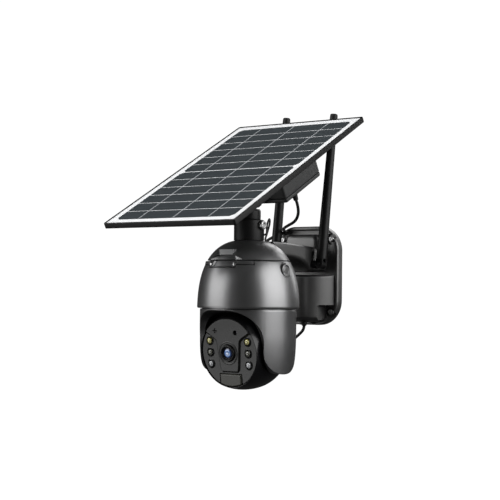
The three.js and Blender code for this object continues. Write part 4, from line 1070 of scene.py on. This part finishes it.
# ---------------------------------------------------------------- pieces kept from the frame
KEPT = {
    "rear_cover": SATIN_BLACK, "cord_grommet": RUBBER, "pigtail_socket": RUBBER, "panel_lead_plug": RUBBER,
    "lead_gland": RUBBER, "dome_floor": SATIN_BLACK, "speaker": SATIN_BLACK, "main_board": BOARD,
    "image_board": BOARD, "reset_button": NYLON, "pan_pinion": NYLON, "pan_gear": NYLON, "tilt_gear": NYLON,
    "tilt_pinion": NYLON, "pan_motor": STEEL, "tilt_motor": STEEL, "tilt_bracket": SATIN_BLACK,
    "battery_pack": WRAP, "antenna_elbow_left": SATIN_BLACK, "antenna_elbow_right": SATIN_BLACK,
    "antenna_socket_left": SATIN_BLACK, "antenna_socket_right": SATIN_BLACK, "hatch_screw_left": STEEL,
    "hatch_screw_right": STEEL,
}
for node, finish in KEPT.items():
    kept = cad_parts[node]
    kept.data.materials.clear()
    kept.data.materials.append(finish)


# ---------------------------------------------------------------- stage
FLOOR_HALF, FLOOR_Z = 6.0, -0.9     # metres
SKY_LIGHT, SKY_SEEN = 0.045, 1.0    # on the object, and more where the camera sees the sky itself
# Name, azimuth, elevation, distance, width, height (metres) and watts.
LIGHTS = (("left_box", -40, 19, 1.6, 1.4, 1.3, 18), ("right_box", 102, 19, 1.6, 1.75, 1.3, 29),
          ("top_box", 20, 66, 2.0, 1.6, 1.2, 28), ("low_box", -36, -24, 1.9, 1.3, 0.7, 6.5),
          ("rear_rim", 186, 22, 2.0, 1.3, 1.3, 16))


def stage():
    """A pale floor far below, white surroundings, and soft boxes round the object."""
    data = bpy.data.meshes.new("floor")
    corners = [(x * FLOOR_HALF, y * FLOOR_HALF, FLOOR_Z) for x, y in ((-1, -1), (1, -1), (1, 1), (-1, 1))]
    data.from_pydata(corners, [], [(0, 1, 2, 3)])
    floor = bpy.data.objects.new("floor", data)
    bpy.context.scene.collection.objects.link(floor)
    pale = bpy.data.materials.new("pale_floor")
    pale.use_nodes = True
    shader = next(n for n in pale.node_tree.nodes if n.type == "BSDF_PRINCIPLED")
    shader.inputs["Base Color"].default_value = (0.9, 0.9, 0.9, 1)
    shader.inputs["Emission Color"].default_value = (1, 1, 1, 1)
    shader.inputs["Emission Strength"].default_value = 1.0
    data.materials.append(pale)
    floor.visible_glossy = floor.visible_diffuse = False
    world = bpy.data.worlds.new("studio")
    bpy.context.scene.world = world
    world.use_nodes = True
    wire = Wire(world.node_tree)
    seen = wire.node("LightPath", out=0)
    sky = next(n for n in world.node_tree.nodes if n.type == "BACKGROUND")
    world.node_tree.links.new((SKY_LIGHT + seen * SKY_SEEN).socket, sky.inputs["Strength"])
    sky.inputs["Color"].default_value = (1, 1, 1, 1)
    target = Vector((0, AXIS_Y, 20)) * MM
    for name, turn, rise, distance, wide, tall, power in LIGHTS:
        lamp = bpy.data.lights.new(name, "AREA")
        lamp.shape, lamp.size, lamp.size_y, lamp.energy = "RECTANGLE", wide, tall, power
        holder = bpy.data.objects.new(name, lamp)
        a, e = math.radians(turn), math.radians(rise)
        away = Vector((math.sin(a) * math.cos(e), -math.cos(a) * math.cos(e), math.sin(e)))
        holder.location = target + away * distance
        holder.rotation_euler = (-away).to_track_quat("-Z", "Y").to_euler()
        bpy.context.scene.collection.objects.link(holder)
    bpy.context.scene.view_settings.view_transform = "Standard"


stage()
